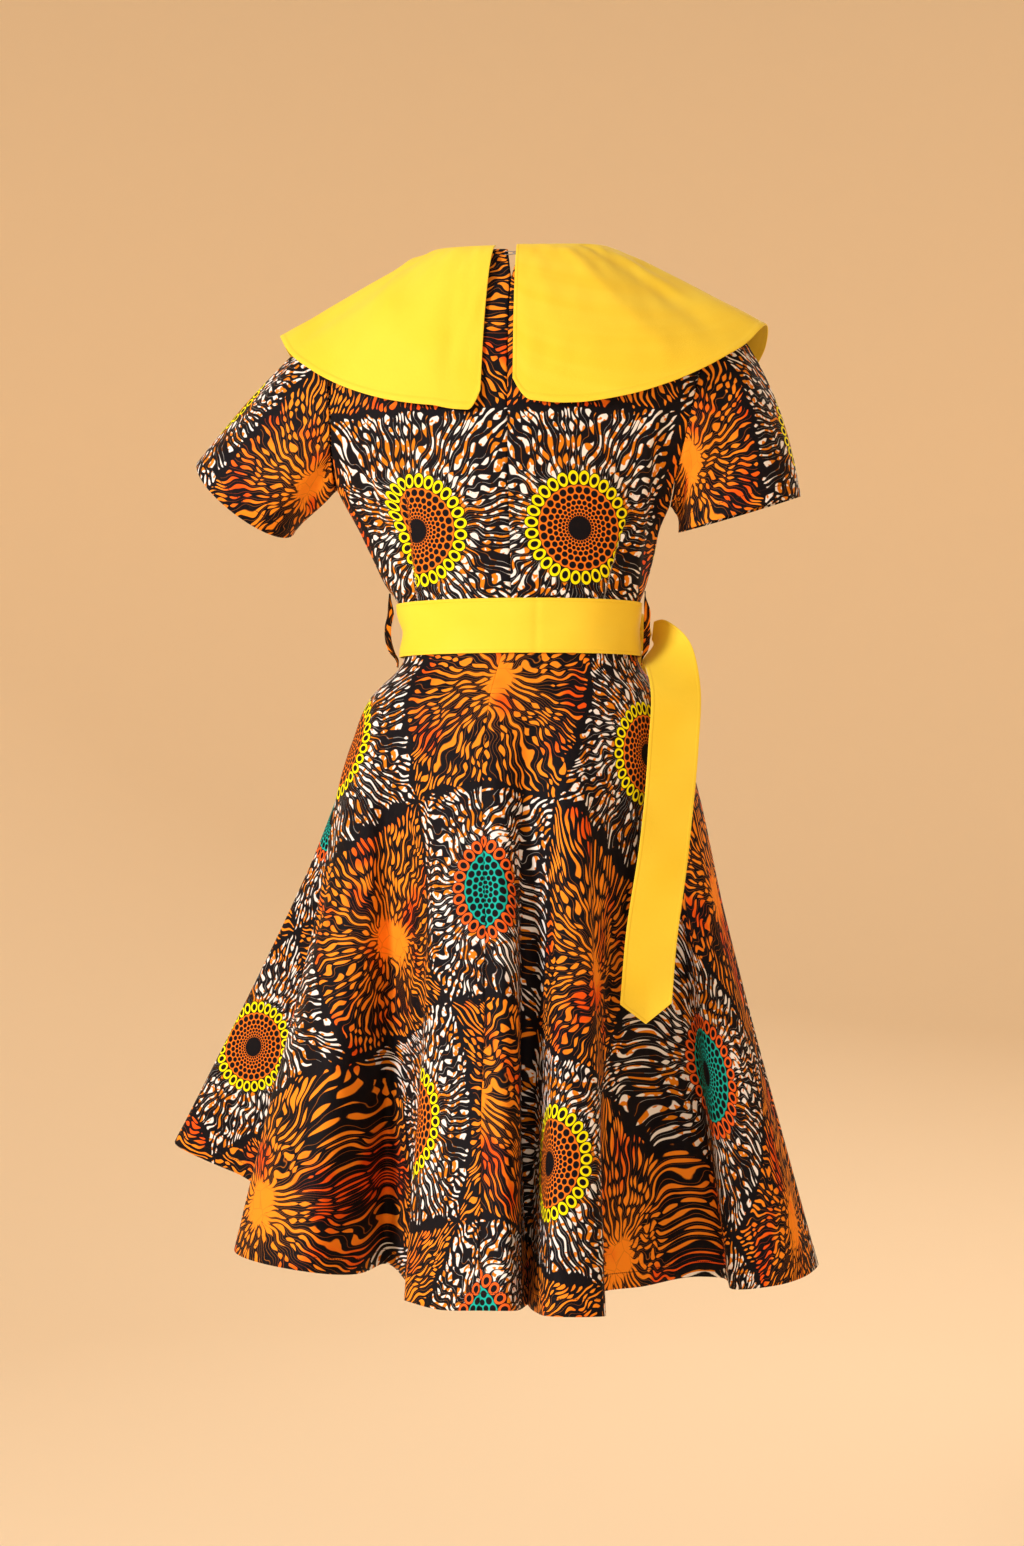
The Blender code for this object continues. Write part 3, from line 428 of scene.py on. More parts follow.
def smooth(knots, values, at):
    """A soft curve through table values: cubic between knots, slopes from the neighbours."""
    knots = np.asarray(knots, float)
    values = np.asarray(values, float)
    at = np.asarray(at, float)
    slopes = np.gradient(values, knots, axis=0)
    i = np.clip(np.searchsorted(knots, at, side="right") - 1, 0, len(knots) - 2)
    width = knots[i + 1] - knots[i]
    s = (at - knots[i]) / width
    shape = s.shape + (1,) * (values.ndim - 1)
    s = s.reshape(shape)
    width = width.reshape(shape)
    start = (1 + 2 * s) * (1 - s) ** 2 * values[i] + s * (1 - s) ** 2 * width * slopes[i]
    end = s * s * (3 - 2 * s) * values[i + 1] - s * s * (1 - s) * width * slopes[i + 1]
    return start + end


def chord_knots(points):
    """Distance along a row of points, from 0 to 1."""
    steps = np.linalg.norm(np.diff(points, axis=0), axis=1)
    return np.concatenate(([0.0], np.cumsum(steps))) / steps.sum()


def side_sign(side):
    return -1.0 if side == "left" else 1.0


def soft_step(low, high, value):
    """0 below low, 1 above high and a soft rise between."""
    t = np.clip((np.asarray(value, float) - low) / (high - low), 0, 1)
    return t * t * (3 - 2 * t)


# The forms, as the part works them out

def neck_point(face, turn):
    angle = turn * math.pi / 2
    centre_y = BACK_NECK_Y if face == "back" else FRONT_NECK_Y
    centre_z = BACK_NECK_Z if face == "back" else FRONT_NECK_Z
    return np.array((NECK_HALF_WIDTH * math.sin(angle),
                     NECK_SIDE_Y + (centre_y - NECK_SIDE_Y) * math.cos(angle),
                     NECK_SIDE_Z + (centre_z - NECK_SIDE_Z) * max(0.0, math.cos(angle)) ** 1.5))


def top_point(face, across):
    if across <= NECK_SHARE:
        return neck_point(face, across / NECK_SHARE)
    share = (across - NECK_SHARE) / (1 - NECK_SHARE)
    return neck_point(face, 1.0) * (1 - share) + np.array(SHOULDER_TIP) * share


def bodice_rows(face, side, across):
    rows = []
    for edge, centre in zip(EDGE_ROWS, CENTRE_ROWS):
        edge_x = edge.left_x if side == "left" else edge.right_x
        edge_z = edge.left_z if side == "left" else edge.right_z
        edge_y = edge.back_y if face == "back" else edge.front_y
        middle_y = centre.back_y if face == "back" else centre.front_y
        middle_z = centre.back_z if face == "back" else centre.front_z
        if face == "front":
            edge_x = edge_x - edge.front_inset
        wrap = math.radians(edge.wrap)
        x = edge_x * np.sin(across * wrap) / math.sin(wrap)
        bulge = (np.cos(across * wrap) - math.cos(wrap)) / (1 - math.cos(wrap))
        y = edge_y + (middle_y - edge_y) * bulge
        z = middle_z + (edge_z - middle_z) * across ** 2
        rows.append(np.stack((x, y, z), axis=-1))
    rows.append(np.array([top_point(face, a) for a in across]))
    return np.array(rows)


def bodice_knots(face):
    return chord_knots(bodice_rows(face, "right", np.array((0.0,)))[:, 0])


def bodice_points(face, side, across, up):
    """Points of a bodice half: across 0 is the centre and 1 the edge, up 0 is the waist."""
    across = np.asarray(across, float)
    up = np.asarray(up, float)
    knots = bodice_knots(face)
    rows = bodice_rows(face, side, across)
    points = smooth(knots, rows, up)
    below = smooth(knots[:UNDERARM_ROW + 1], rows[:UNDERARM_ROW + 1], up)
    above = smooth(knots[UNDERARM_ROW:], rows[UNDERARM_ROW:], up)
    parted = np.where((up <= knots[UNDERARM_ROW])[:, None, None], below, above)
    points += (parted - points) * (across ** EDGE_SHARPNESS)[None, :, None]
    if face == "front":
        reach = ((points[..., 0] - BUST_APEX[0]) / BUST_SPREAD) ** 2
        reach = reach + ((points[..., 2] - BUST_APEX[1]) / BUST_SPREAD) ** 2
        points[..., 1] += BUST_FULLNESS * np.exp(-reach)
    else:
        opening = np.clip((points[..., 2] - BACK_NECK_Z + NECK_VEE_DEPTH) / NECK_VEE_DEPTH, 0, 1)
        points[..., 0] += NECK_VEE_HALF_WIDTH * opening * (1 - across) ** 3
    points[..., 0] *= side_sign(side)
    return points


def hem_curve():
    table = np.array([(row.x, row.y, row.low) for row in HEM_ROWS])
    around = np.vstack((table[-3:], table, table[:4]))
    knots = chord_knots(around[:, :2])
    start = knots[3]
    end = knots[3 + len(table)]
    fine = smooth(knots, around, np.linspace(start, end, HEM_SAMPLES * 4 + 1))
    length = chord_knots(fine[:, :2])
    even = np.linspace(0, 1, HEM_SAMPLES + 1)
    return np.stack([np.interp(even, length, fine[:, k]) for k in range(3)], axis=-1)


HEM = hem_curve()


def skirt_girth(share):
    table = np.array([row[2:] for row in SKIRT_ROWS])
    return smooth([row.share for row in SKIRT_ROWS], table, share)


def ring_points(left_x, right_x, back_y, front_y, turn, around):
    angle = 2 * math.pi * around + np.radians(turn) * np.cos(math.pi * around) ** 2
    half = np.where(np.sin(angle) > 0, right_x, left_x)
    depth = np.where(np.cos(angle) > 0, SEAM_Y - back_y, front_y - SEAM_Y)
    return np.stack((half * np.sin(angle), SEAM_Y - depth * np.cos(angle)), axis=-1)


def skirt_points(around, share):
    """Points of the skirt: around 0 to 1 from the centre back by the right, share 0 to 1 down."""
    around, share = np.broadcast_arrays(np.asarray(around, float), np.asarray(share, float))
    girth = skirt_girth(share)
    level = ring_points(*np.moveaxis(girth, -1, 0), around)
    lowest = ring_points(*SKIRT_ROWS[-1][2:], around)
    waist = ring_points(*SKIRT_ROWS[0][2:], around)
    wrapped = np.mod(around, 1.0) * HEM_SAMPLES
    hem = np.stack([np.interp(wrapped, np.arange(HEM_SAMPLES + 1), HEM[:, k]) for k in range(3)],
                   axis=-1)
    grow = (np.clip((share - FOLD_START) / (1 - FOLD_START), 0, 1) ** FOLD_POWER)[..., None]
    plan = level + grow * (hem[..., :2] - lowest)
    reach = np.linalg.norm(hem[..., :2] - waist, axis=-1)
    drop = np.sqrt(SKIRT_LENGTH ** 2 - reach ** 2) + hem[..., 2]
    z = WAIST_Z - WAIST_GAP - share * drop
    return np.concatenate((plan, z[..., None]), axis=-1)


def armhole_loop(side, count):
    up = np.linspace(bodice_knots("back")[UNDERARM_ROW], 1, 60)
    back = bodice_points("back", side, (1.0,), up)[:, 0]
    up = np.linspace(1, bodice_knots("front")[UNDERARM_ROW], 60)
    front = bodice_points("front", side, (1.0,), up)[:, 0]
    halves = []
    for half in (back, front):
        length = chord_knots(half)
        at = np.linspace(0, 1, count // 2 + 1)[:-1]
        halves.append(np.stack([np.interp(at, length, half[:, k]) for k in range(3)], axis=-1))
    return np.concatenate(halves)


def sleeve_points(side, count, down):
    """A sleeve from its armhole to its hem; its columns start at the underarm, back first."""
    size = SLEEVES[side]
    hole = armhole_loop(side, count)
    turn = 2 * math.pi * np.arange(count) / count
    top = (0.5 - 0.5 * np.cos(turn))[:, None]
    hem = (np.array(size.hem_centre) - np.cos(turn)[:, None] * np.array(size.to_outer)
           - np.sin(turn)[:, None] * np.array(size.to_front))
    start = top * np.array(size.top_start) + (1 - top) * np.array(size.low_start)
    end = top * np.array(size.top_end) + (1 - top) * np.array(size.low_end)
    leaving = start / np.linalg.norm(start, axis=1, keepdims=True)
    hole = hole + leaving * (ARMHOLE_GAP[side] + UNDERARM_GAP * (1 - top) ** 2)
    t = down[:, None, None]
    return ((1 + 2 * t) * (1 - t) ** 2 * hole + t * (1 - t) ** 2 * start
            + t * t * (3 - 2 * t) * hem - t * t * (1 - t) * end)


def collar_points(side, shares, out):
    """Half of the cape collar, from the neckline outwards."""
    sign = side_sign(side)
    table = np.array([row[2:] for row in COLLAR_ROWS])
    edges = smooth([row.share for row in COLLAR_ROWS], table, shares)
    slit_top, slit_low, corner_drop = SLIT[side]
    grid = np.zeros((len(out), len(shares), 3))
    for j, (share, edge) in enumerate(zip(shares, edges)):
        face = "back" if share < 1 else "front"
        neck = neck_point(face, share if share < 1 else 2 - share)
        neck[2] += COLLAR_CLEARANCE
        away = edge - neck
        away[2] = 0.0
        length = np.linalg.norm(away)
        over_back = math.cos(math.pi / 2 * min(share, 2 - share)) ** 2
        side_on = 1 - over_back
        turned = 0.80 * over_back + 0.50 * side_on
        lowered = 0.26 * over_back + 0.45 * side_on
        rise = neck + away / length * 0.012 + np.array((0, 0, COLLAR_RISE))
        bend = neck + away * turned + np.array((0, 0, (edge[2] - neck[2]) * lowered))
        near = max(0.0, 1 - share / SLIT_REACH)
        corner = max(0.0, 1 - share / CORNER_REACH)
        r = (out * (1 - CORNER_RISE * corner ** 2))[:, None]
        points = ((1 - r) ** 3 * neck + 3 * r * (1 - r) ** 2 * rise
                  + 3 * r * r * (1 - r) * bend + r ** 3 * edge)
        r = r[:, 0]
        points[:, 0] = sign * points[:, 0] + (slit_top + (slit_low - slit_top) * r) * near
        points[:, 2] -= corner_drop * near * r
        grid[:, j] = points
    return grid


def belt_rings(heights, around):
    """The sash's inside face, one ring for each height."""
    rings = []
    for z in heights:
        if z >= WAIST_Z:
            left = np.interp(z, [row.left_z for row in EDGE_ROWS[:3]],
                             [row.left_x for row in EDGE_ROWS[:3]])
            right = np.interp(z, [row.right_z for row in EDGE_ROWS[:3]],
                              [row.right_x for row in EDGE_ROWS[:3]])
            back = np.interp(z, [row.back_z for row in CENTRE_ROWS[:3]],
                             [row.back_y for row in CENTRE_ROWS[:3]])
            front = np.interp(z, [row.front_z for row in CENTRE_ROWS[:3]],
                              [row.front_y for row in CENTRE_ROWS[:3]])
        else:
            low = (WAIST_Z - z) / SKIRT_LENGTH / SKIRT_ROWS[1].share
            waist, below = (np.array(row[2:6]) for row in SKIRT_ROWS[:2])
            left, right, back, front = waist * (1 - low) + below * low
        ring = ring_points(left + BELT_CLEARANCE, right + BELT_CLEARANCE, back - BELT_CLEARANCE,
                           front + BELT_CLEARANCE, 0.0, around)
        rings.append(np.concatenate((ring, np.full((len(around), 1), z)), axis=-1))
    return np.array(rings)


def ribbon_points(table, down, across):
    values = np.array([row[1:] for row in table])
    knots = chord_knots(values[:, :3])
    stations = smooth(knots, values, down)
    grid = np.zeros((len(down), len(across), 3))
    for i, (x, y, z, width, heading, slope) in enumerate(stations):
        heading = math.radians(heading)
        slope = math.radians(slope)
        wide = np.array((math.cos(heading) * math.cos(slope), math.sin(heading) * math.cos(slope),
                         math.sin(slope)))
        grid[i] = np.array((x, y, z)) + wide * width * 0.5 * across[:, None]
    return grid


def normals_out(grid, closed=False):
    """Unit normals of a grid, pointing away from the dress's axis."""
    down = np.gradient(grid, axis=0)
    if closed:
        wrapped = np.concatenate((grid[:, -1:], grid, grid[:, :1]), axis=1)
        along = np.gradient(wrapped, axis=1)[:, 1:-1]
    else:
        along = np.gradient(grid, axis=1)
    normal = np.cross(along, down)
    normal /= np.maximum(np.linalg.norm(normal, axis=-1, keepdims=True), 1e-9)
    return normal


def facing_out(grid, inside, closed=False):
    """Normals turned away from the point inside."""
    normal = normals_out(grid, closed)
    if (normal * (grid - np.array(inside))).sum() < 0:
        normal = -normal
    return normal


def arc_lengths(grid, axis):
    """Distance along a grid's rows or columns, from its first one."""
    steps = np.linalg.norm(np.diff(grid, axis=axis), axis=-1)
    start = np.zeros_like(np.take(steps, [0], axis=axis))
    return np.concatenate((start, np.cumsum(steps, axis=axis)), axis=axis)


# Making cloth

def unmarked(layer):
    """An edge layer for cloth that shows no hem or stitches."""
    return np.full_like(layer, -1.0)


def cloth_piece(name, grid, thickness, finish, replaced, prints=None, edges=None,
                closed=False):
    """A thin shell through a grid of points, standing for a node of the part."""
    rows, columns = grid.shape[:2]
    mesh = bpy.data.meshes.new(name)
    last = columns if closed else columns - 1
    index = np.arange(rows * columns).reshape(rows, columns)
    upper = index[:-1, :last]
    upper_next = np.roll(index, -1, axis=1)[:-1, :last]
    lower = index[1:, :last]
    lower_next = np.roll(index, -1, axis=1)[1:, :last]
    quads = np.stack((upper, lower, lower_next, upper_next), axis=-1).reshape(-1, 4)
    mesh.from_pydata(grid.reshape(-1, 3).tolist(), [], quads.tolist())
    for layer_name, values in (("cloth", prints), ("edge", edges)):
        if values is None:
            continue
        corners = np.stack((values[:-1, :-1], values[1:, :-1], values[1:, 1:], values[:-1, 1:]),
                           axis=2)
        layer = mesh.uv_layers.new(name=layer_name)
        layer.data.foreach_set("uv", corners.reshape(-1))
    mesh.update()
    mesh.shade_smooth()
    mesh.materials.append(finish)
    piece = bpy.data.objects.new(name, mesh)
    bpy.context.scene.collection.objects.link(piece)
    shell = piece.modifiers.new("Shell", "SOLIDIFY")
    shell.thickness = thickness
    shell.offset = 0.0
    if replaced:
        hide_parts(replaced)
    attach(piece, "root")
    return piece


def line_distance(points, line):
    """Distance in the x, z plane to a line of points, and the share of the way along it."""
    spots = points[..., (0, 2)]
    best = np.full(spots.shape[:-1], 9.0)
    along = np.zeros(spots.shape[:-1])
    for k, (a, b) in enumerate(zip(line[:-1], line[1:])):
        a = np.array(a)
        b = np.array(b)
        t = ((spots - a) @ (b - a)) / ((b - a) @ (b - a))
        near = a + np.clip(t, 0, 1)[..., None] * (b - a)
        distance = np.linalg.norm(spots - near, axis=-1)
        closer = distance < best
        best = np.where(closer, distance, best)
        along = np.where(closer, (k + np.clip(t, 0, 1)) / (len(line) - 1), along)
    return best, along


def crease_height(points, face, creases):
    """How far the cloth stands out at each point because of the creases on that face."""
    height = np.zeros(points.shape[:-1])
    for crease in creases:
        if crease.face != face:
            continue
        distance, along = line_distance(points, crease.line)
        fade = np.sin(math.pi * np.clip(along * 0.9 + 0.05, 0, 1)) ** 0.7
        height += crease.height * fade * np.exp(-(distance / crease.width) ** 2)
    return height


def dart_shift(points, panel):
    """The cloth taken in beyond each dart, and the groove of its seam."""
    shift = np.zeros(points.shape[:-1])
    groove = np.zeros(points.shape[:-1])
    for dart in DARTS:
        if dart.panel != panel:
            continue
        down = (dart.top_z - points[..., 2]) / (dart.top_z - dart.low_z)
        seam_x = dart.top_x + (dart.low_x - dart.top_x) * down
        outside = np.abs(points[..., 0]) > abs(seam_x)
        same_side = points[..., 0] * dart.top_x > 0
        taken = dart.intake * soft_step(-0.15, 0.35, down)
        shift += np.where(outside & same_side, taken, 0.0) * math.copysign(1, dart.top_x)
        reach = (points[..., 0] - seam_x) / DART_WIDTH
        groove += DART_GROOVE * np.exp(-reach ** 2) * soft_step(0.0, 0.15, down)
    return shift, groove


def ripple(a, b, seed):
    """Soft uneven waves between -1 and 1 over two distances in metres."""
    spin = np.random.default_rng(seed)
    total = np.zeros(np.broadcast(a, b).shape)
    for wave in (26.0, 41.0, 67.0, 103.0):
        lean = spin.uniform(-0.6, 0.6)
        phase = spin.uniform(0, 6.28, 2)
        total = total + np.sin(wave * (a + lean * b) + phase[0]) * np.sin(0.5 * wave * b + phase[1])
    return total / 4


def print_layer(name, across, up):
    """The printed cloth's own coordinates for places on a panel."""
    place = PRINT_PLACES[name]
    return np.stack(np.broadcast_arrays(across - place.across + place.column * TILE,
                                        up - place.up + place.row * TILE), axis=-1)


def print_drift(name, across, up):
    """How far the print has drifted at places on a flat skirt panel."""
    weight = np.full(across.shape, SEAM_DRIFT_WEIGHT)
    by_across = weight * SEAM_DRIFT[name]
    by_up = np.zeros(across.shape)
    for drift in PRINT_DRIFTS:
        if drift.panel != name:
            continue
        near = np.exp(-((across - drift.across) ** 2 + (up - drift.up) ** 2) / DRIFT_REACH ** 2)
        weight = weight + near
        by_across = by_across + near * drift.by_across
        by_up = by_up + near * drift.by_up
    return by_across / weight, by_up / weight


def make_bodice(finish):
    half = CLOTH / 2
    for side in ("left", "right"):
        name = f"bodice_back_{side}"
        up = np.linspace(0, 1 - SEAM_GAP / BODICE_HEIGHT, 150)
        across = np.linspace(SEAM_GAP, 1 - SEAM_GAP / BODICE_HALF_GIRTH, 96)
        grid = bodice_points("back", side, across, up)
        normal = facing_out(grid, (0, 0, -0.25))
        shift, groove = dart_shift(grid, name)
        height = crease_height(grid, "back", BODICE_CREASES) - groove
        from_seam = (across * BODICE_HALF_WIDTH)[None, :]
        seam = np.exp(-(from_seam / SEAM_WIDTH) ** 2)
        pucker = (np.sin(up * 190.0) * 0.5 + np.sin(up * 123.0 + 1.0) * 0.5)[:, None]
        beside = np.exp(-((from_seam - PUCKER_REACH) / PUCKER_REACH) ** 2)
        height = height - SEAM_GROOVE * seam + PUCKER_HEIGHT * pucker * beside
        height += 0.0007 * ripple(grid[..., 0], grid[..., 2], 3 if side == "left" else 4)
        fade = soft_step(0.0, 0.06, up)[:, None] * soft_step(0.0, 0.05, 1 - across)[None, :]
        held = soft_step(WAIST_Z, BELT_TOP_Z + 0.012, grid[..., 2])
        height *= fade * held
        grid = grid + normal * (half + height)[..., None]
        above = grid[..., 2] - PRINT_PLACES[name].up
        raised = grid[..., 2] - BODICE_PRINT_RISE * soft_step(0.05, 0.11, above)
        flat = print_layer(name, side_sign(side) * arc_lengths(grid, 1) + shift, raised)
        piece = cloth_piece(name, grid, PRINT_THICKNESS, finish, name, flat, unmarked(flat))
    name = "bodice_front"
    up = np.linspace(0, 1 - SEAM_GAP / BODICE_HEIGHT, 110)
    across = np.linspace(0, 1 - SEAM_GAP / BODICE_HALF_GIRTH, 70)
    left = bodice_points("front", "left", across[::-1], up)
    right = bodice_points("front", "right", across[1:], up)
    grid = np.concatenate((left, right), axis=1)
    normal = facing_out(grid, (0, 0, -0.25))
    shift, groove = dart_shift(grid, name)
    height = crease_height(grid, "front", BODICE_CREASES) - groove
    height += 0.0006 * ripple(grid[..., 0], grid[..., 2], 5)
    wide = np.concatenate((across[::-1], across[1:]))
    fade = soft_step(0.0, 0.06, up)[:, None] * soft_step(0.0, 0.05, 1 - wide)[None, :]
    height *= fade * soft_step(WAIST_Z, BELT_TOP_Z + 0.012, grid[..., 2])
    grid = grid + normal * (half + height)[..., None]
    middle = len(across) - 1
    along = arc_lengths(grid, 1)
    flat = print_layer(name, along - along[:, middle:middle + 1] + shift, grid[..., 2])
    piece = cloth_piece(name, grid, PRINT_THICKNESS, finish, name, flat, unmarked(flat))


def make_sleeves(finish):
    for side in ("left", "right"):
        name = f"sleeve_{side}"
        count = 140
        down = np.linspace(0, 1, 70)
        grid = sleeve_points(side, count, down)
        inside = grid.mean(axis=(0, 1))
        normal = facing_out(grid, inside, closed=True)
        turn = 2 * math.pi * np.arange(count) / count
        t = down[:, None]
        low = (0.5 + 0.5 * np.cos(turn))[None, :]
        height = np.zeros((len(down), count))
        for wave, where in zip(SLEEVE_WAVES, (low, 1.0, 1.0)):
            ripples = np.sin(turn * wave.count + wave.phase + wave.lean * t)
            height += wave.height * where * ripples * np.exp(-((t - wave.middle) / wave.reach) ** 2)
        height *= soft_step(0.0, 0.05, t)
        height += 0.0004 * soft_step(0.965, 0.975, t)
        grid = grid + normal * (CLOTH / 2 + height)[..., None]
        closed = np.concatenate((grid, grid[:, :1]), axis=1)
        along = arc_lengths(closed, 1)
        long = arc_lengths(closed, 0)
        top = along[:, count // 2:count // 2 + 1]
        to_hem = long[-1:, :] - long
        flat = print_layer(name, top - along, to_hem)
        edge = np.stack((along, to_hem), axis=-1)
        piece = cloth_piece(name, grid, PRINT_THICKNESS, finish, name, flat, edge,
                            closed=True)


def skirt_creases(around, share):
    """How far the skirt stands out because of its creases, which run from the waist down."""
    height = np.zeros(np.broadcast(around, share).shape)
    for crease in SKIRT_CREASES:
        down = (share - crease.start) / (crease.end - crease.start)
        line = crease.top + (crease.low - crease.top) * down
        off = (np.mod(around - line + 0.5, 1.0) - 0.5) * (WAIST_GIRTH + GIRTH_GROWTH * share)
        fade = np.sin(math.pi * np.clip(down, 0, 1)) ** 0.6
        height = height + crease.height * fade * np.exp(-(off / crease.width) ** 2)
    return height


def make_skirt(finish):
    gap = SEAM_GAP / 6
    panels = (("skirt_back_right", 0.0, 0.25, 0.0, 1, 170, 150, (0.64, 0.745), 0.302),
              ("skirt_front", 0.25, 0.75, 0.5, -1, 240, 120, (1.28, 0.745), 0.603),
              ("skirt_back_left", 0.75, 1.0, 1.0, 1, 170, 150, (0.64, 0.745), 0.302))
    for name, first, last, middle, flip, columns, rows, size, area in panels:
        around = np.linspace(first + gap, last - gap, columns)[None, :]
        share = np.linspace(0, 1, rows)[:, None]
        grid = skirt_points(around, share)
        normal = facing_out(grid, (0, 0, -0.7))
        turn, bend = SKIRT_TURNS[name]
        away = around - middle
        angle = np.radians(turn * away + bend * away * np.abs(away))
        radius = WAIST_RADIUS + share * SKIRT_LENGTH
        flat_across = radius * np.sin(angle) * flip
        flat_up = WAIST_RADIUS - radius * np.cos(angle)
        by_across, by_up = print_drift(name, flat_across, flat_up)
        flat = print_layer(name, flat_across + by_across, flat_up + by_up)
        height = 0.0022 * ripple(around * 2.2, share * 0.10, 11) * soft_step(0.08, 0.5, share)
        inset = np.minimum(around - first, last - around) * HEM_GIRTH
        height = height * soft_step(0.0, 0.03, inset)
        height = height + skirt_creases(around, share)
        height += 0.0003 * soft_step(0.968, 0.972, share)
        grid = grid + normal * (CLOTH / 2 + height)[..., None]
        edge = np.stack(np.broadcast_arrays(angle * radius + 2.0, (1 - share) * SKIRT_LENGTH),
                        axis=-1)
        piece = cloth_piece(name, grid, PRINT_THICKNESS, finish, name, flat, edge)


def make_collar(finish):
    shares = np.concatenate((np.linspace(0, CORNER_REACH, 14)[:-1],
                             np.linspace(CORNER_REACH, 2.0, 120)))
    out = np.concatenate((np.linspace(0, 0.94, 48)[:-1], np.linspace(0.94, 1.0, 12)))
    left = collar_points("left", shares, out)
    right = collar_points("right", shares[:-1][::-1], out)
    grid = np.concatenate((left, right), axis=1)
    place = np.concatenate((-shares, shares[:-1][::-1]))
    normal = facing_out(grid, (0, 0, -0.15))
    spot = np.stack(np.broadcast_arrays(place[None, :] * COLLAR_RUN, out[:, None] * COLLAR_DEPTH),
                    axis=-1)
    height = np.zeros(grid.shape[:2])
    for start, start_out, end, end_out, rise, width in COLLAR_CREASES:
        a = np.array((start * COLLAR_RUN, start_out * COLLAR_DEPTH))
        b = np.array((end * COLLAR_RUN, end_out * COLLAR_DEPTH))
        t = np.clip(((spot - a) @ (b - a)) / ((b - a) @ (b - a)), 0, 1)
        distance = np.linalg.norm(spot - a - t[..., None] * (b - a), axis=-1)
        height += rise * np.exp(-(distance / (width * 0.45)) ** 2)
    height = 1.4 * height + 0.0010 * ripple(place[None, :] * 0.45, out[:, None] * 0.30, 21)
    height *= soft_step(0.02, 0.15, out)[:, None]
    rim = soft_step(0.972, 0.988, out) * (1 - soft_step(0.992, 1.0, out))
    height += 0.0003 * rim[:, None]
    grid = grid + normal * (COLLAR_CLOTH / 2 + height)[..., None]
    flat = np.stack((arc_lengths(grid, 1), arc_lengths(grid, 0)), axis=-1)
    slit = np.abs(place)[None, :] * COLLAR_SLIT_LENGTH
    rim_distance = np.minimum((1 - out[:, None]) * COLLAR_DEPTH, slit)
    edge = np.stack(np.broadcast_arrays(flat[..., 0], rim_distance), axis=-1)
    piece = cloth_piece("collar", grid, DOUBLE_THICKNESS, finish, "collar",
                        flat, edge)
    round_edge(piece)


def round_edge(piece):
    """A soft edge on double cloth."""
    bevel = piece.modifiers.new("Rolled edge", "BEVEL")
    bevel.width = ROLLED_EDGE
    bevel.segments = 3
    bevel.limit_method = "ANGLE"
    bevel.angle_limit = math.radians(60)


def make_sash(finish):
    around = np.arange(360) / 360
    heights = np.linspace(BELT_TOP_Z, BELT_BOTTOM_Z, 30)
    grid = belt_rings(heights, around)
    normal = facing_out(grid, (0, 0, WAIST_Z), closed=True)
    down = np.linspace(0, 1, 30)[:, None]
    turn = (around * 2 * math.pi)[None, :]
    height = 0.0005 * np.sin(turn * 11 + 2 * down) * np.sin(math.pi * down)
    height = height + 0.0006 * np.sin(turn * 4 + 5 * down + 1.0) * np.sin(math.pi * down)
    fold = np.exp(-((turn - 0.21) / 0.03) ** 2)
    height = height - 0.0006 * fold
    left = np.exp(-((turn - 1.5 * math.pi) / 0.25) ** 2)
    height = height + 0.0009 * left * np.sin(down * 9)
    grid = grid + normal * (SASH_CLOTH / 2 + height)[..., None]
    closed = np.concatenate((grid, grid[:, :1]), axis=1)
    flat = np.stack((arc_lengths(closed, 1), arc_lengths(closed, 0)), axis=-1)
    edge = np.stack((flat[..., 0], np.minimum(flat[..., 1], flat[-1:, :, 1] - flat[..., 1])), axis=-1)
    piece = cloth_piece("belt_band", grid, DOUBLE_THICKNESS, finish, "belt_band",
                        flat, edge, closed=True)
    round_edge(piece)

    across = np.linspace(-1, 1, 19)
    down = np.linspace(0, 1, 150)
    for name, table, length in (("belt_tail_back", BACK_TAIL_ROWS, 0.43),
                                ("belt_tail_front", FRONT_TAIL_ROWS, 0.41)):
        grid = ribbon_points(table, down, across)
        tip = soft_step(0.93, 1.0, down)[:, None] * TAIL_POINT * (1 - np.abs(across))[None, :]
        grid[..., 2] -= tip
        normal = facing_out(grid, (0, 0, -0.6))
        wave = 0.0008 * np.sin(down * 17 + 1)[:, None] * across[None, :]
        wave = wave + 0.0005 * np.sin(down * 29)[:, None] * (1 - across[None, :] ** 2)
        crossing = np.exp(-((down - 0.47) / 0.004) ** 2)[:, None]
        height = wave * soft_step(0.05, 0.3, down)[:, None] - 0.0005 * crossing
        grid = grid + normal * (SASH_CLOTH / 2 + height)[..., None]
        flat = np.stack((arc_lengths(grid, 1), arc_lengths(grid, 0)), axis=-1)
        side = np.minimum(flat[..., 0], flat[:, -1:, 0] - flat[..., 0])
        rim = np.minimum(side, flat[-1:, :, 1] - flat[..., 1])
        edge = np.stack((flat[..., 1], rim), axis=-1)
        piece = cloth_piece(name, grid, DOUBLE_THICKNESS, finish, name, flat, edge)
        round_edge(piece)
    make_knot(finish)


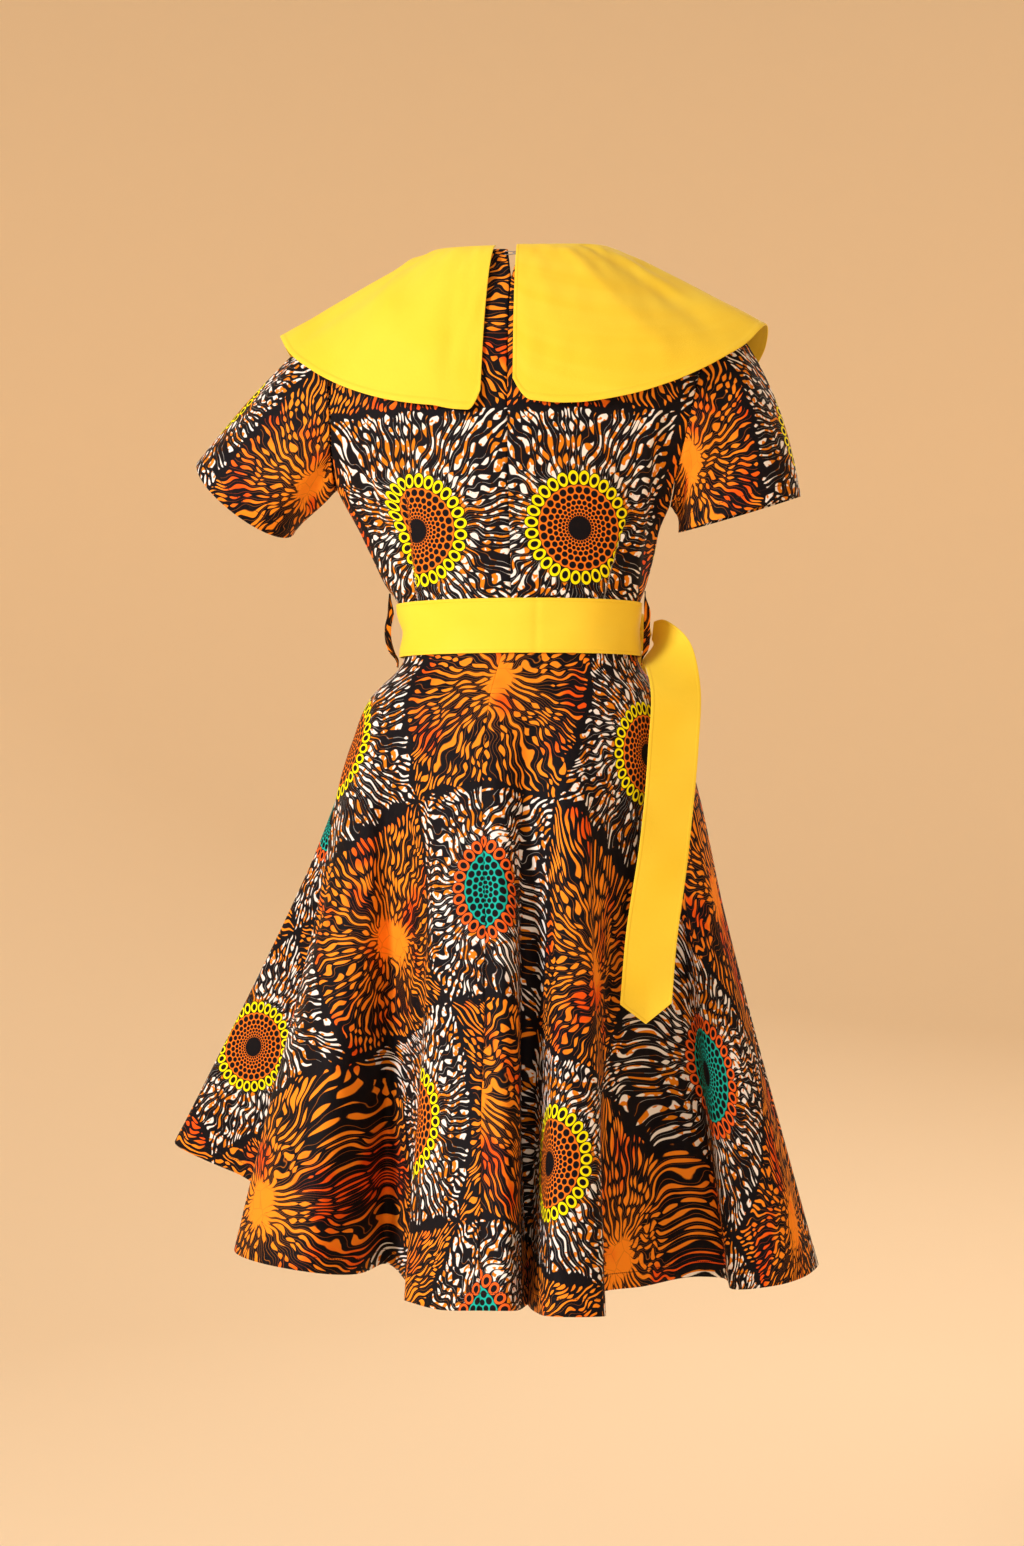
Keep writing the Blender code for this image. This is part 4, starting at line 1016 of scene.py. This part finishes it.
def make_knot(finish):
    """Three turns of cloth wound over one another."""
    rows = 60
    columns = 96
    lift = np.linspace(0.02, math.pi - 0.02, rows)[:, None]
    turn = np.linspace(0, 2 * math.pi, columns, endpoint=False)[None, :]
    x = np.sin(lift) * np.cos(turn)
    y = np.sin(lift) * np.sin(turn)
    z = np.cos(lift) * np.ones_like(turn)
    slant = z + x * 0.55
    wraps = np.abs(np.sin(slant * 4.2 + 0.4))
    folds = 0.35 * np.sin(slant * 21.0 + 3 * y)
    radius = 0.5 * (0.86 + 0.12 * wraps + 0.03 * folds)
    grid = np.stack((x, y, z), axis=-1) * radius[..., None] * np.array(KNOT_SIZE)
    at = belt_rings((WAIST_Z,), np.array((KNOT_CENTRE_ANGLE / 360,)))[0, 0]
    out = np.array((at[0], at[1], 0.0)) / math.hypot(at[0], at[1])
    place = at + out * (SASH_CLOTH + KNOT_SIZE[1] * 0.5 + KNOT_CLEARANCE)
    spin = math.atan2(-out[0], out[1])
    turned = np.array(((math.cos(spin), -math.sin(spin), 0), (math.sin(spin), math.cos(spin), 0),
                       (0, 0, 1)))
    grid = grid @ turned.T + place
    closed = np.concatenate((grid, grid[:, :1]), axis=1)
    flat = np.stack((arc_lengths(closed, 1), arc_lengths(closed, 0)), axis=-1)
    piece = cloth_piece("belt_knot", grid, KNOT_THICKNESS, finish, "belt_knot", flat,
                        unmarked(flat), closed=True)


def make_carriers(finish):
    for side in ("left", "right"):
        sign = side_sign(side)
        stand = CARRIER_STAND_OFF[side]
        top_z = BELT_TOP_Z + CARRIER_END
        top_x = np.interp(top_z, [getattr(row, f"{side}_z") for row in EDGE_ROWS[:3]],
                          [getattr(row, f"{side}_x") for row in EDGE_ROWS[:3]])
        middle = 0.25 if side == "right" else 0.75
        low_x = abs(skirt_points(middle, (WAIST_Z - BELT_BOTTOM_Z + 0.010) / SKIRT_LENGTH)[0])
        belt_x = abs(belt_rings((WAIST_Z,), np.array((middle,)))[0, 0, 0]) + SASH_CLOTH
        stations = np.array((
            (top_x + CARRIER_TOP_CLEARANCE, top_z),
            (top_x + CARRIER_TOP_CLEARANCE, top_z - 0.006),
            (belt_x + 0.006 + stand * 0.5, BELT_TOP_Z - 0.010),
            (belt_x + 0.004 + stand, -0.392),
            (belt_x + 0.004 + stand, -0.404),
            (belt_x + 0.004 + stand * 0.6, -0.418),
            (low_x + CARRIER_LOW_CLEARANCE[side], BELT_BOTTOM_Z - 0.004),
            (low_x + CARRIER_LOW_CLEARANCE[side], BELT_BOTTOM_Z - 0.010)))
        fine = smooth(chord_knots(stations), stations, np.linspace(0, 1, 60))
        grid = np.zeros((len(fine), 7, 3))
        lean = math.radians(CARRIER_TWIST[side])
        along = np.linspace(0, 1, len(fine))
        free = soft_step(0.0, 0.3, along) * soft_step(0.0, 0.3, 1 - along)
        for j, y in enumerate(np.linspace(-0.5, 0.5, 7)):
            outwards = CLOTH / 2 + 0.0003 * (1 - 4 * y * y) - y * CARRIER_WIDTH * math.sin(lean) * free
            grid[:, j] = np.stack((sign * (fine[:, 0] + outwards),
                                   SEAM_Y - 0.004 + y * CARRIER_WIDTH * np.cos(lean * free),
                                   fine[:, 1]), axis=-1)
        name = f"belt_carrier_{side}"
        flat = print_layer(name, arc_lengths(grid, 1), arc_lengths(grid, 0))
        piece = cloth_piece(name, grid, CARRIER_THICKNESS, finish, name, flat,
                            unmarked(flat))


def make_zip(finish, steel):
    """The tape behind the seam, and the coil that closes it."""
    start = np.interp(BACK_NECK_Z - NECK_VEE_DEPTH - 0.004,
                      [row.back_z for row in CENTRE_ROWS] + [BACK_NECK_Z], bodice_knots("back"))
    up = np.linspace(start, 0, 120)
    share = np.linspace(0.004, ZIP_SKIRT_SHARE, 50)[:, None]
    columns = [bodice_points("back", "left", (ZIP_ACROSS,), up),
               bodice_points("back", "left", (ZIP_ACROSS / 2,), up),
               bodice_points("back", "right", (0.0,), up),
               bodice_points("back", "right", (ZIP_ACROSS / 2,), up),
               bodice_points("back", "right", (ZIP_ACROSS,), up)]
    above = np.concatenate(columns, axis=1)
    below = skirt_points(np.array((-1, -0.5, 0, 0.5, 1)) * ZIP_ACROSS / 4, share)
    grid = np.concatenate((above, below))
    normal = facing_out(grid, (0, 0, -0.3))
    grid = grid - normal * (ZIP_CLEARANCE + ZIP_CLOTH / 2)
    flat = np.stack((arc_lengths(grid, 1), arc_lengths(grid, 0)), axis=-1)
    piece = cloth_piece("back_zip", grid, TAPE_THICKNESS, finish, "back_zip", flat,
                        unmarked(flat))
    make_coil(grid[:, 2], -normal[:, 2], finish)
    make_hook(steel)


def loose_piece(name, vertices, faces, finish):
    """A small piece of the scene alone."""
    mesh = bpy.data.meshes.new(name)
    mesh.from_pydata(vertices, [], faces)
    mesh.update()
    mesh.shade_smooth()
    mesh.materials.append(finish)
    piece = bpy.data.objects.new(name, mesh)
    bpy.context.scene.collection.objects.link(piece)
    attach(piece, "root")
    return piece


def make_coil(line, inwards, finish):
    """The zip's teeth: short bars across the tape, on its inside."""
    length = arc_lengths(line, 0)
    count = int(length[-1] / ZIP_TOOTH_PITCH)
    at = np.linspace(0.002, length[-1] - 0.002, count)
    centre = np.stack([np.interp(at, length, line[:, k]) for k in range(3)], axis=-1)
    out = np.stack([np.interp(at, length, inwards[:, k]) for k in range(3)], axis=-1)
    down = np.gradient(centre, axis=0)
    down /= np.linalg.norm(down, axis=1, keepdims=True)
    across = np.cross(out, down)
    centre = centre + out * (0.00025 + ZIP_TOOTH_RADIUS)
    vertices = []
    faces = []
    sides = 6
    for c, a, d, o in zip(centre, across, down, out):
        first = len(vertices)
        for end in (-1, 1):
            for k in range(sides):
                lean = 2 * math.pi * k / sides
                ring = d * math.cos(lean) + o * math.sin(lean)
                vertices.append((c + a * end * ZIP_TOOTH_WIDTH / 2 + ring * ZIP_TOOTH_RADIUS).tolist())
        for k in range(sides):
            after = (k + 1) % sides
            faces.append((first + k, first + after, first + sides + after, first + sides + k))
        faces.append(tuple(first + k for k in reversed(range(sides))))
        faces.append(tuple(first + sides + k for k in range(sides)))
    loose_piece("zip_teeth", vertices, faces, finish)


def wire(name, route, finish):
    """A bent wire through a route of points."""
    knots = chord_knots(route)
    line = smooth(knots, route, np.linspace(0, 1, 48))
    forward = np.gradient(line, axis=0)
    forward /= np.linalg.norm(forward, axis=1, keepdims=True)
    side = np.cross(forward, (0.0, 1.0, 0.0))
    side /= np.maximum(np.linalg.norm(side, axis=1, keepdims=True), 1e-6)
    above = np.cross(side, forward)
    sides = 8
    vertices = []
    for c, a, b in zip(line, side, above):
        for k in range(sides):
            lean = 2 * math.pi * k / sides
            vertices.append((c + (a * math.cos(lean) + b * math.sin(lean)) * WIRE_RADIUS).tolist())
    faces = []
    for i in range(len(line) - 1):
        for k in range(sides):
            after = (k + 1) % sides
            faces.append((i * sides + k, i * sides + after, (i + 1) * sides + after,
                          (i + 1) * sides + k))
    faces.append(tuple(reversed(range(sides))))
    faces.append(tuple(range(len(vertices) - sides, len(vertices))))
    loose_piece(name, vertices, faces, finish)


def make_hook(steel):
    """The small hook and eye that close the neck above the opening."""
    for side, name in (("left", "neck_hook"), ("right", "neck_eye")):
        sign = side_sign(side)
        edge = bodice_points("back", side, (0.0,), np.array((HOOK_UP,)))[0, 0]
        reach = HOOK_REACH[side]
        turns = np.linspace(-0.5 * math.pi, 0.5 * math.pi, 12)
        loop = np.stack((-sign * np.cos(turns) * reach, np.zeros(12), np.sin(turns) * 0.0016), axis=-1)
        foot = np.array((sign * 0.0035, 0.0, 0.0016))
        route = np.concatenate(([foot * (1, 1, -1)], loop, [foot]))
        wire(name, route + edge + np.array((0.0, -CLOTH - WIRE_RADIUS - 0.0004, 0.0)), steel)


# Materials

class Signal:
    """A number flowing through a material, so that a formula reads as a formula."""

    def __init__(self, tree, socket):
        self.tree = tree
        self.socket = socket

    def math(self, operation, *others):
        node = self.tree.nodes.new("ShaderNodeMath")
        node.operation = operation
        for k, value in enumerate((self,) + others):
            plug(self.tree, node.inputs[k], value)
        return Signal(self.tree, node.outputs[0])

    def __add__(self, other):
        return self.math("ADD", other)

    def __sub__(self, other):
        return self.math("SUBTRACT", other)

    def __rsub__(self, other):
        return (self * -1.0) + other

    def __mul__(self, other):
        return self.math("MULTIPLY", other)

    def __truediv__(self, other):
        return self.math("DIVIDE", other)

    def step(self, low, high):
        """0 below low, 1 above high, soft between."""
        node = self.tree.nodes.new("ShaderNodeMapRange")
        node.interpolation_type = "SMOOTHSTEP"
        plug(self.tree, node.inputs["Value"], self)
        plug(self.tree, node.inputs["From Min"], low)
        plug(self.tree, node.inputs["From Max"], high)
        return Signal(self.tree, node.outputs["Result"])


def plug(tree, socket, value):
    if isinstance(value, Signal):
        tree.links.new(value.socket, socket)
    else:
        socket.default_value = value


def colour(code):
    """A colour written as in a picture, made linear."""
    values = [int(code[k:k + 2], 16) / 255 for k in (1, 3, 5)]
    linear = [v / 12.92 if v <= 0.04045 else ((v + 0.055) / 1.055) ** 2.4 for v in values]
    return (*linear, 1.0)


def blend(tree, share, first, second):
    """Two colours mixed."""
    node = tree.nodes.new("ShaderNodeMix")
    node.data_type = "RGBA"
    plug(tree, node.inputs[0], share)
    plug(tree, node.inputs[6], first)
    plug(tree, node.inputs[7], second)
    return Signal(tree, node.outputs[2])


def vector(tree, x, y, z=0.0):
    node = tree.nodes.new("ShaderNodeCombineXYZ")
    for socket, value in zip(node.inputs, (x, y, z)):
        plug(tree, socket, value)
    return Signal(tree, node.outputs[0])


def layer_parts(tree, name):
    """The two numbers of a cloth layer, in metres."""
    layer = tree.nodes.new("ShaderNodeUVMap")
    layer.uv_map = name
    parts = tree.nodes.new("ShaderNodeSeparateXYZ")
    tree.links.new(layer.outputs[0], parts.inputs[0])
    return Signal(tree, parts.outputs[0]), Signal(tree, parts.outputs[1])


def noise(tree, at, scale, detail=1.0, roughness=0.5):
    node = tree.nodes.new("ShaderNodeTexNoise")
    plug(tree, node.inputs["Vector"], at)
    node.inputs["Scale"].default_value = scale
    node.inputs["Detail"].default_value = detail
    node.inputs["Roughness"].default_value = roughness
    return Signal(tree, node.outputs["Fac"])


def noise_pair(tree, at, scale):
    """Two soft noises about zero, that know nothing of each other."""
    node = tree.nodes.new("ShaderNodeTexNoise")
    plug(tree, node.inputs["Vector"], at)
    node.inputs["Scale"].default_value = scale
    node.inputs["Detail"].default_value = 0.0
    parts = tree.nodes.new("ShaderNodeSeparateColor")
    tree.links.new(node.outputs["Color"], parts.inputs[0])
    return Signal(tree, parts.outputs[0]) - 0.5, Signal(tree, parts.outputs[1]) - 0.5


def cells(tree, at, scale):
    """The distance to the nearest edge between random cells."""
    node = tree.nodes.new("ShaderNodeTexVoronoi")
    node.feature = "DISTANCE_TO_EDGE"
    plug(tree, node.inputs["Vector"], at)
    node.inputs["Scale"].default_value = scale
    return Signal(tree, node.outputs["Distance"])


def new_material(name):
    made = bpy.data.materials.new(name)
    made.use_nodes = True
    return made, made.node_tree, made.node_tree.nodes["Principled BSDF"]


def weave_bump(tree, shader, across, up, height=None):
    """The threads of a plain weave, over a broader unevenness."""
    threads = (across * THREADS).math("SINE") * (up * THREADS).math("SINE")
    rough = noise(tree, vector(tree, across, up), 260.0, 3.0)
    total = threads * 0.00003 + rough * 0.00022
    if height is not None:
        total = total + height
    bump = tree.nodes.new("ShaderNodeBump")
    bump.inputs["Strength"].default_value = 0.6
    bump.inputs["Distance"].default_value = 1.0
    plug(tree, bump.inputs["Height"], total)
    tree.links.new(bump.outputs[0], shader.inputs["Normal"])


def stitch_line(tree, along, inward, inset, pitch=0.0032):
    """A row of stitches at a distance from an edge."""
    off = (inward - inset).math("ABSOLUTE")
    beside = 1.0 - off.step(0.0003, 0.0007)
    gaps = ((along / pitch).math("FRACT") - 0.5).math("ABSOLUTE")
    return beside * (1.0 - gaps.step(0.34, 0.42))


def strands(tree, turn, radius, spacing, seed):
    """Wavy strokes round a tile's middle, as the distance inside the nearest one.

    turn counts the strokes round the middle and spacing is the metres between two of them.
    Each is a long line in some places and a chain of ovals in others.
    """
    number = turn.math("FLOOR").math("FLOORED_MODULO", STRANDS * 2)
    off = ((turn.math("FRACT") - 0.5).math("ABSOLUTE")) * spacing
    chance = noise(tree, vector(tree, number * 7.31, radius * 9.0, seed), 1.0, 0.0)
    start = noise(tree, vector(tree, number * 3.17, seed * 5.0, 0.0), 1.0, 0.0)
    phase = start * 9.0 + radius * (start * 0.8 + 0.55) / OVAL_LENGTH
    t = (phase.math("FRACT") - 0.5) * 2.0
    oval = 1.0 - t * t
    broken = chance.step(0.43, 0.50)
    swell = noise(tree, vector(tree, number * 5.3, radius * 70.0, seed + 3.0), 1.0, 0.0)
    width = (swell * 1.1 + 0.35) * (broken * (oval * 2.4 - 1.75) + 1.0)
    gone = chance.step(0.26, 0.30)
    return off, width * gone, start


def print_material():
    """The wax print: tiles with bursts of wavy strokes, and a roundel in every other tile."""
    made, tree, shader = new_material("wax_print_cotton")
    across, up = layer_parts(tree, "cloth")
    along, inward = layer_parts(tree, "edge")
    column = (across / TILE).math("ROUND")
    row = (up / TILE).math("ROUND")
    burst = ((column + row) * 0.5).math("FRACT").step(0.2, 0.3)
    yellow_row = (row * 0.5).math("FRACT").step(0.2, 0.3)
    x = across - column * TILE
    y = up - row * TILE
    here = vector(tree, x, y, burst * 0.7 + yellow_row * 0.3)
    radius = (x * x + y * y).math("SQRT")
    angle = y.math("ARCTAN2", x)

    # Strokes, swayed from side to side as they run outwards
    sway_x, sway_y = noise_pair(tree, here, FINE_SWAY_SCALE)
    wide_x, wide_y = noise_pair(tree, here, WIDE_SWAY_SCALE)
    sx = x + sway_x * FINE_SWAY + wide_x * WIDE_SWAY
    sy = y + sway_y * FINE_SWAY + wide_y * WIDE_SWAY
    reach = (sx * sx + sy * sy).math("SQRT")
    bearing = sy.math("ARCTAN2", sx)
    turn = bearing * (STRANDS / (2 * math.pi)) + STRANDS
    spacing = reach * (2 * math.pi / STRANDS)
    first_off, first_width, _ = strands(tree, turn, reach, spacing, 1.0)
    second_off, second_width, second_start = strands(tree, turn + 0.5, reach, spacing, 7.0)
    third_off, third_width, third_start = strands(tree, turn * 2.0, reach, spacing * 0.5, 4.0)
    thick = STRAND_WIDTH / 2
    second_from = second_start * 0.05 + 0.030
    third_from = third_start * 0.06 + 0.075
    second_in = reach.step(second_from, second_from + 0.006)
    third_in = reach.step(third_from, third_from + 0.008)
    inner = 1.0 - reach.step(0.012, 0.060)
    first_half = first_width * thick + inner * 0.0003
    second_half = second_width * thick * second_in * 0.95
    third_half = third_width * thick * third_in * 0.85
    depth = (first_half - first_off).math("MAXIMUM", second_half - second_off)
    depth = depth.math("MAXIMUM", third_half - third_off)
    solid = (1.0 - reach.step(0.006, 0.026)) * 0.0012 * burst
    edge_x = TILE / 2 - x.math("ABSOLUTE")
    edge_y = TILE / 2 - y.math("ABSOLUTE")
    border = edge_x.math("MINIMUM", edge_y) + sway_x * 0.016
    clear = (1.0 - border.step(-0.0010, 0.0045)) * 0.0040
    depth = depth + solid - clear
    stroke = depth.step(-0.00025, 0.00025)

    # Colours of the strokes
    dark = colour(BLACK)
    mottle = noise(tree, vector(tree, across, up), 15.0, 2.0)
    orange = blend(tree, mottle.step(0.50, 0.66), colour(ORANGE), colour(DEEP_ORANGE))
    crackle = 1.0 - cells(tree, here, 62.0).step(0.0, 0.05)
    middle = 1.0 - radius.step(0.030, 0.060)
    orange = blend(tree, crackle * middle * 0.40, orange, colour(CRACKLE_BROWN))
    bars = noise(tree, vector(tree, x, y, 5.0), 150.0, 1.0)
    patches = noise(tree, vector(tree, x, y, 9.0), 34.0, 1.0)
    tinted = (bars + patches * 0.5).step(0.755, 0.780)
    white = blend(tree, tinted, colour(WHITE), colour(AMBER))
    ink = blend(tree, burst, white, orange)
    base = blend(tree, stroke, dark, ink)

    # Roundel: a pupil, rings of dots that grow outwards, and a rim of loops
    loop_turn = angle * (LOOPS / (2 * math.pi)) + LOOPS
    growth = (radius / PUPIL_RADIUS).math("MAXIMUM", 0.5).math("LOGARITHM", math.e) / 0.2
    ring = growth.math("FLOOR")
    offset = (ring * 0.5).math("FRACT")
    dot_x = ((loop_turn + offset).math("FRACT") - 0.5) / 0.43
    dot_y = (growth.math("FRACT") - 0.5) / 0.47
    dot = 1.0 - (dot_x * dot_x + dot_y * dot_y).step(0.80, 1.15)
    disc_colour = blend(tree, yellow_row, colour(TEAL), colour(DISC_ORANGE))
    disc = blend(tree, dot, disc_colour, dark)
    rim_middle = (DISC_RADIUS + ROUNDEL_RADIUS) / 2
    loop_x = loop_turn.math("FRACT") - 0.5
    loop_y = (radius - rim_middle) / (ROUNDEL_RADIUS - DISC_RADIUS)
    loop = loop_x * loop_x * 4.2 + loop_y * loop_y * 3.7
    loop_band = (1.0 - loop.step(0.84, 0.98)) * loop.step(0.26, 0.36)
    loop_colour = blend(tree, yellow_row, colour(LOOP_ORANGE), colour(LEMON))
    rim = blend(tree, loop_band, dark, loop_colour)
    in_disc = 1.0 - radius.step(DISC_RADIUS - 0.0003, DISC_RADIUS + 0.0003)
    teeth = ((loop_turn * 2.0).math("FRACT") - 0.5).math("ABSOLUTE") * 0.0030
    in_pupil = 1.0 - (radius + teeth).step(PUPIL_RADIUS + 0.0002, PUPIL_RADIUS + 0.0010)
    eye = blend(tree, in_disc, rim, disc)
    eye = blend(tree, in_pupil, eye, dark)
    in_rim = 1.0 - radius.step(rim_middle, rim_middle + 0.0002)
    loop_cover = 1.0 - loop.step(1.10, 1.25)
    outside = radius.step(ROUNDEL_RADIUS + 0.002, ROUNDEL_RADIUS + 0.003)
    in_roundel = in_rim.math("MAXIMUM", loop_cover * (1.0 - outside)) * (1.0 - burst)
    base = blend(tree, in_roundel, base, eye)

    stitches = stitch_line(tree, along, inward, HEM_DEPTH)
    base = blend(tree, stitches * 0.8, base, colour(THREAD))
    tree.links.new(base.socket, shader.inputs["Base Color"])
    fold = inward.step(HEM_DEPTH, HEM_DEPTH + 0.0008) * 0.0003
    weave_bump(tree, shader, across, up, stitches * -0.0002 - fold)
    shader.inputs["Roughness"].default_value = 0.70
    shader.inputs["Specular IOR Level"].default_value = 0.12
    shader.inputs["Sheen Weight"].default_value = 0.02
    shader.inputs["Sheen Roughness"].default_value = 0.4
    return made


def yellow_material():
    """Plain yellow cotton with a turned edge."""
    made, tree, shader = new_material("yellow_plain_cotton")
    across, up = layer_parts(tree, "cloth")
    inward = layer_parts(tree, "edge")[1]
    at = vector(tree, across, up)
    slub = noise(tree, vector(tree, across * 6.0, up), 240.0, 2.0)
    cloud = noise(tree, at, 9.0, 2.0)
    base = blend(tree, cloud.step(0.35, 0.7), colour("#FCD93C"), colour("#FAD330"))
    base = blend(tree, slub.step(0.55, 0.75) * 0.25, base, colour("#F4CC20"))
    # Painted shade: a faint darker line where the turned edge ends, standing in for the shade at its fold
    rim = 1.0 - (inward - 0.0032).math("ABSOLUTE").step(0.0002, 0.0012)
    base = blend(tree, rim * 0.10, base, colour("#E0A800"))
    tree.links.new(base.socket, shader.inputs["Base Color"])
    edge_fold = (1.0 - inward.step(0.0026, 0.0040)) * 0.0004
    weave_bump(tree, shader, across, up, edge_fold)
    shader.inputs["Roughness"].default_value = 0.72
    shader.inputs["Specular IOR Level"].default_value = 0.30
    shader.inputs["Sheen Weight"].default_value = 0.12
    shader.inputs["Sheen Roughness"].default_value = 0.4
    return made


def tape_material():
    """Woven zip tape with its coil along the middle."""
    made, tree, shader = new_material("zip_tape_woven")
    across, up = layer_parts(tree, "cloth")
    base = blend(tree, noise(tree, vector(tree, across, up), 900.0, 2.0), colour("#141014"),
                 colour("#241A20"))
    tree.links.new(base.socket, shader.inputs["Base Color"])
    ribs = (across * 5200.0).math("SINE") * 0.00006
    weave_bump(tree, shader, across, up, ribs)
    shader.inputs["Roughness"].default_value = 0.6
    return made


def steel_material():
    made, tree, shader = new_material("hook_wire")
    place = tree.nodes.new("ShaderNodeTexCoord")
    grain = noise(tree, Signal(tree, place.outputs["Object"]), 900.0, 2.0)
    base = blend(tree, grain, colour("#8E8E92"), colour("#C4C4C8"))
    tree.links.new(base.socket, shader.inputs["Base Color"])
    shader.inputs["Metallic"].default_value = 1.0
    shader.inputs["Roughness"].default_value = 0.35
    return made


# Studio

def make_studio():
    """A pale floor that curves up all round, and soft lights, the brightest on the left."""
    levels = 24
    sides = 96
    profile = [(0.0, FLOOR_Z), (FLOOR_RADIUS, FLOOR_Z)]
    for k in range(1, levels + 1):
        lean = math.pi / 2 * k / levels
        profile.append((FLOOR_RADIUS + SWEEP_RADIUS * math.sin(lean),
                        FLOOR_Z + SWEEP_RADIUS * (1 - math.cos(lean))))
    profile.append((FLOOR_RADIUS + SWEEP_RADIUS, WALL_TOP_Z))
    turned = bmesh.new()
    line = [turned.verts.new((out, 0, z)) for out, z in profile]
    edges = [turned.edges.new(pair) for pair in zip(line[:-1], line[1:])]
    bmesh.ops.spin(turned, geom=line + edges, cent=(0, 0, 0), axis=(0, 0, 1), angle=2 * math.pi,
                   steps=sides, use_merge=True)
    bmesh.ops.remove_doubles(turned, verts=turned.verts, dist=0.0001)
    floor_mesh = bpy.data.meshes.new("floor")
    turned.to_mesh(floor_mesh)
    turned.free()
    floor_mesh.shade_smooth()
    floor = bpy.data.objects.new("floor", floor_mesh)
    bpy.context.scene.collection.objects.link(floor)
    made, _, shader = new_material("floor")
    shader.inputs["Base Color"].default_value = colour(FLOOR_COLOUR)
    shader.inputs["Roughness"].default_value = 0.95
    shader.inputs["Specular IOR Level"].default_value = 0.0
    floor_mesh.materials.append(made)

    world = bpy.data.worlds.new("studio")
    world.use_nodes = True
    back = world.node_tree.nodes["Background"]
    back.inputs["Color"].default_value = colour(SKY_COLOUR)
    back.inputs["Strength"].default_value = SKY_STRENGTH
    bpy.context.scene.world = world

    for name, place, width, power in LIGHTS:
        lamp = bpy.data.lights.new(name, "AREA")
        lamp.shape = "DISK"
        lamp.size = width
        lamp.energy = power
        holder = bpy.data.objects.new(name, lamp)
        holder.location = place
        aim = Vector((0, 0, LIGHTS_AIM_Z)) - Vector(place)
        holder.rotation_euler = aim.to_track_quat("-Z", "Y").to_euler()
        bpy.context.scene.collection.objects.link(holder)


def make_camera():
    lens = bpy.data.cameras.new("photo_view")
    lens.sensor_fit = "VERTICAL"
    lens.sensor_height = SENSOR
    lens.lens = FOCAL_PIXELS / PHOTO_HEIGHT * SENSOR
    lens.shift_x = -AXIS_PIXELS_RIGHT / PHOTO_HEIGHT
    lens.shift_y = AXIS_PIXELS_DOWN / PHOTO_HEIGHT
    camera = bpy.data.objects.new("photo_view", lens)
    turn = math.radians(CAMERA_TURN)
    camera.location = (CAMERA_DISTANCE * math.sin(turn), -CAMERA_DISTANCE * math.cos(turn),
                       CAMERA_HEIGHT)
    camera.rotation_euler = (math.pi / 2, 0, turn)
    bpy.context.scene.collection.objects.link(camera)
    bpy.context.scene.camera = camera


bpy.context.scene.view_settings.view_transform = "Standard"
make_camera()
make_studio()
wax_print = print_material()
yellow = yellow_material()
make_bodice(wax_print)
make_sleeves(wax_print)
make_skirt(wax_print)
make_carriers(wax_print)
make_collar(yellow)
make_sash(yellow)
make_zip(tape_material(), steel_material())
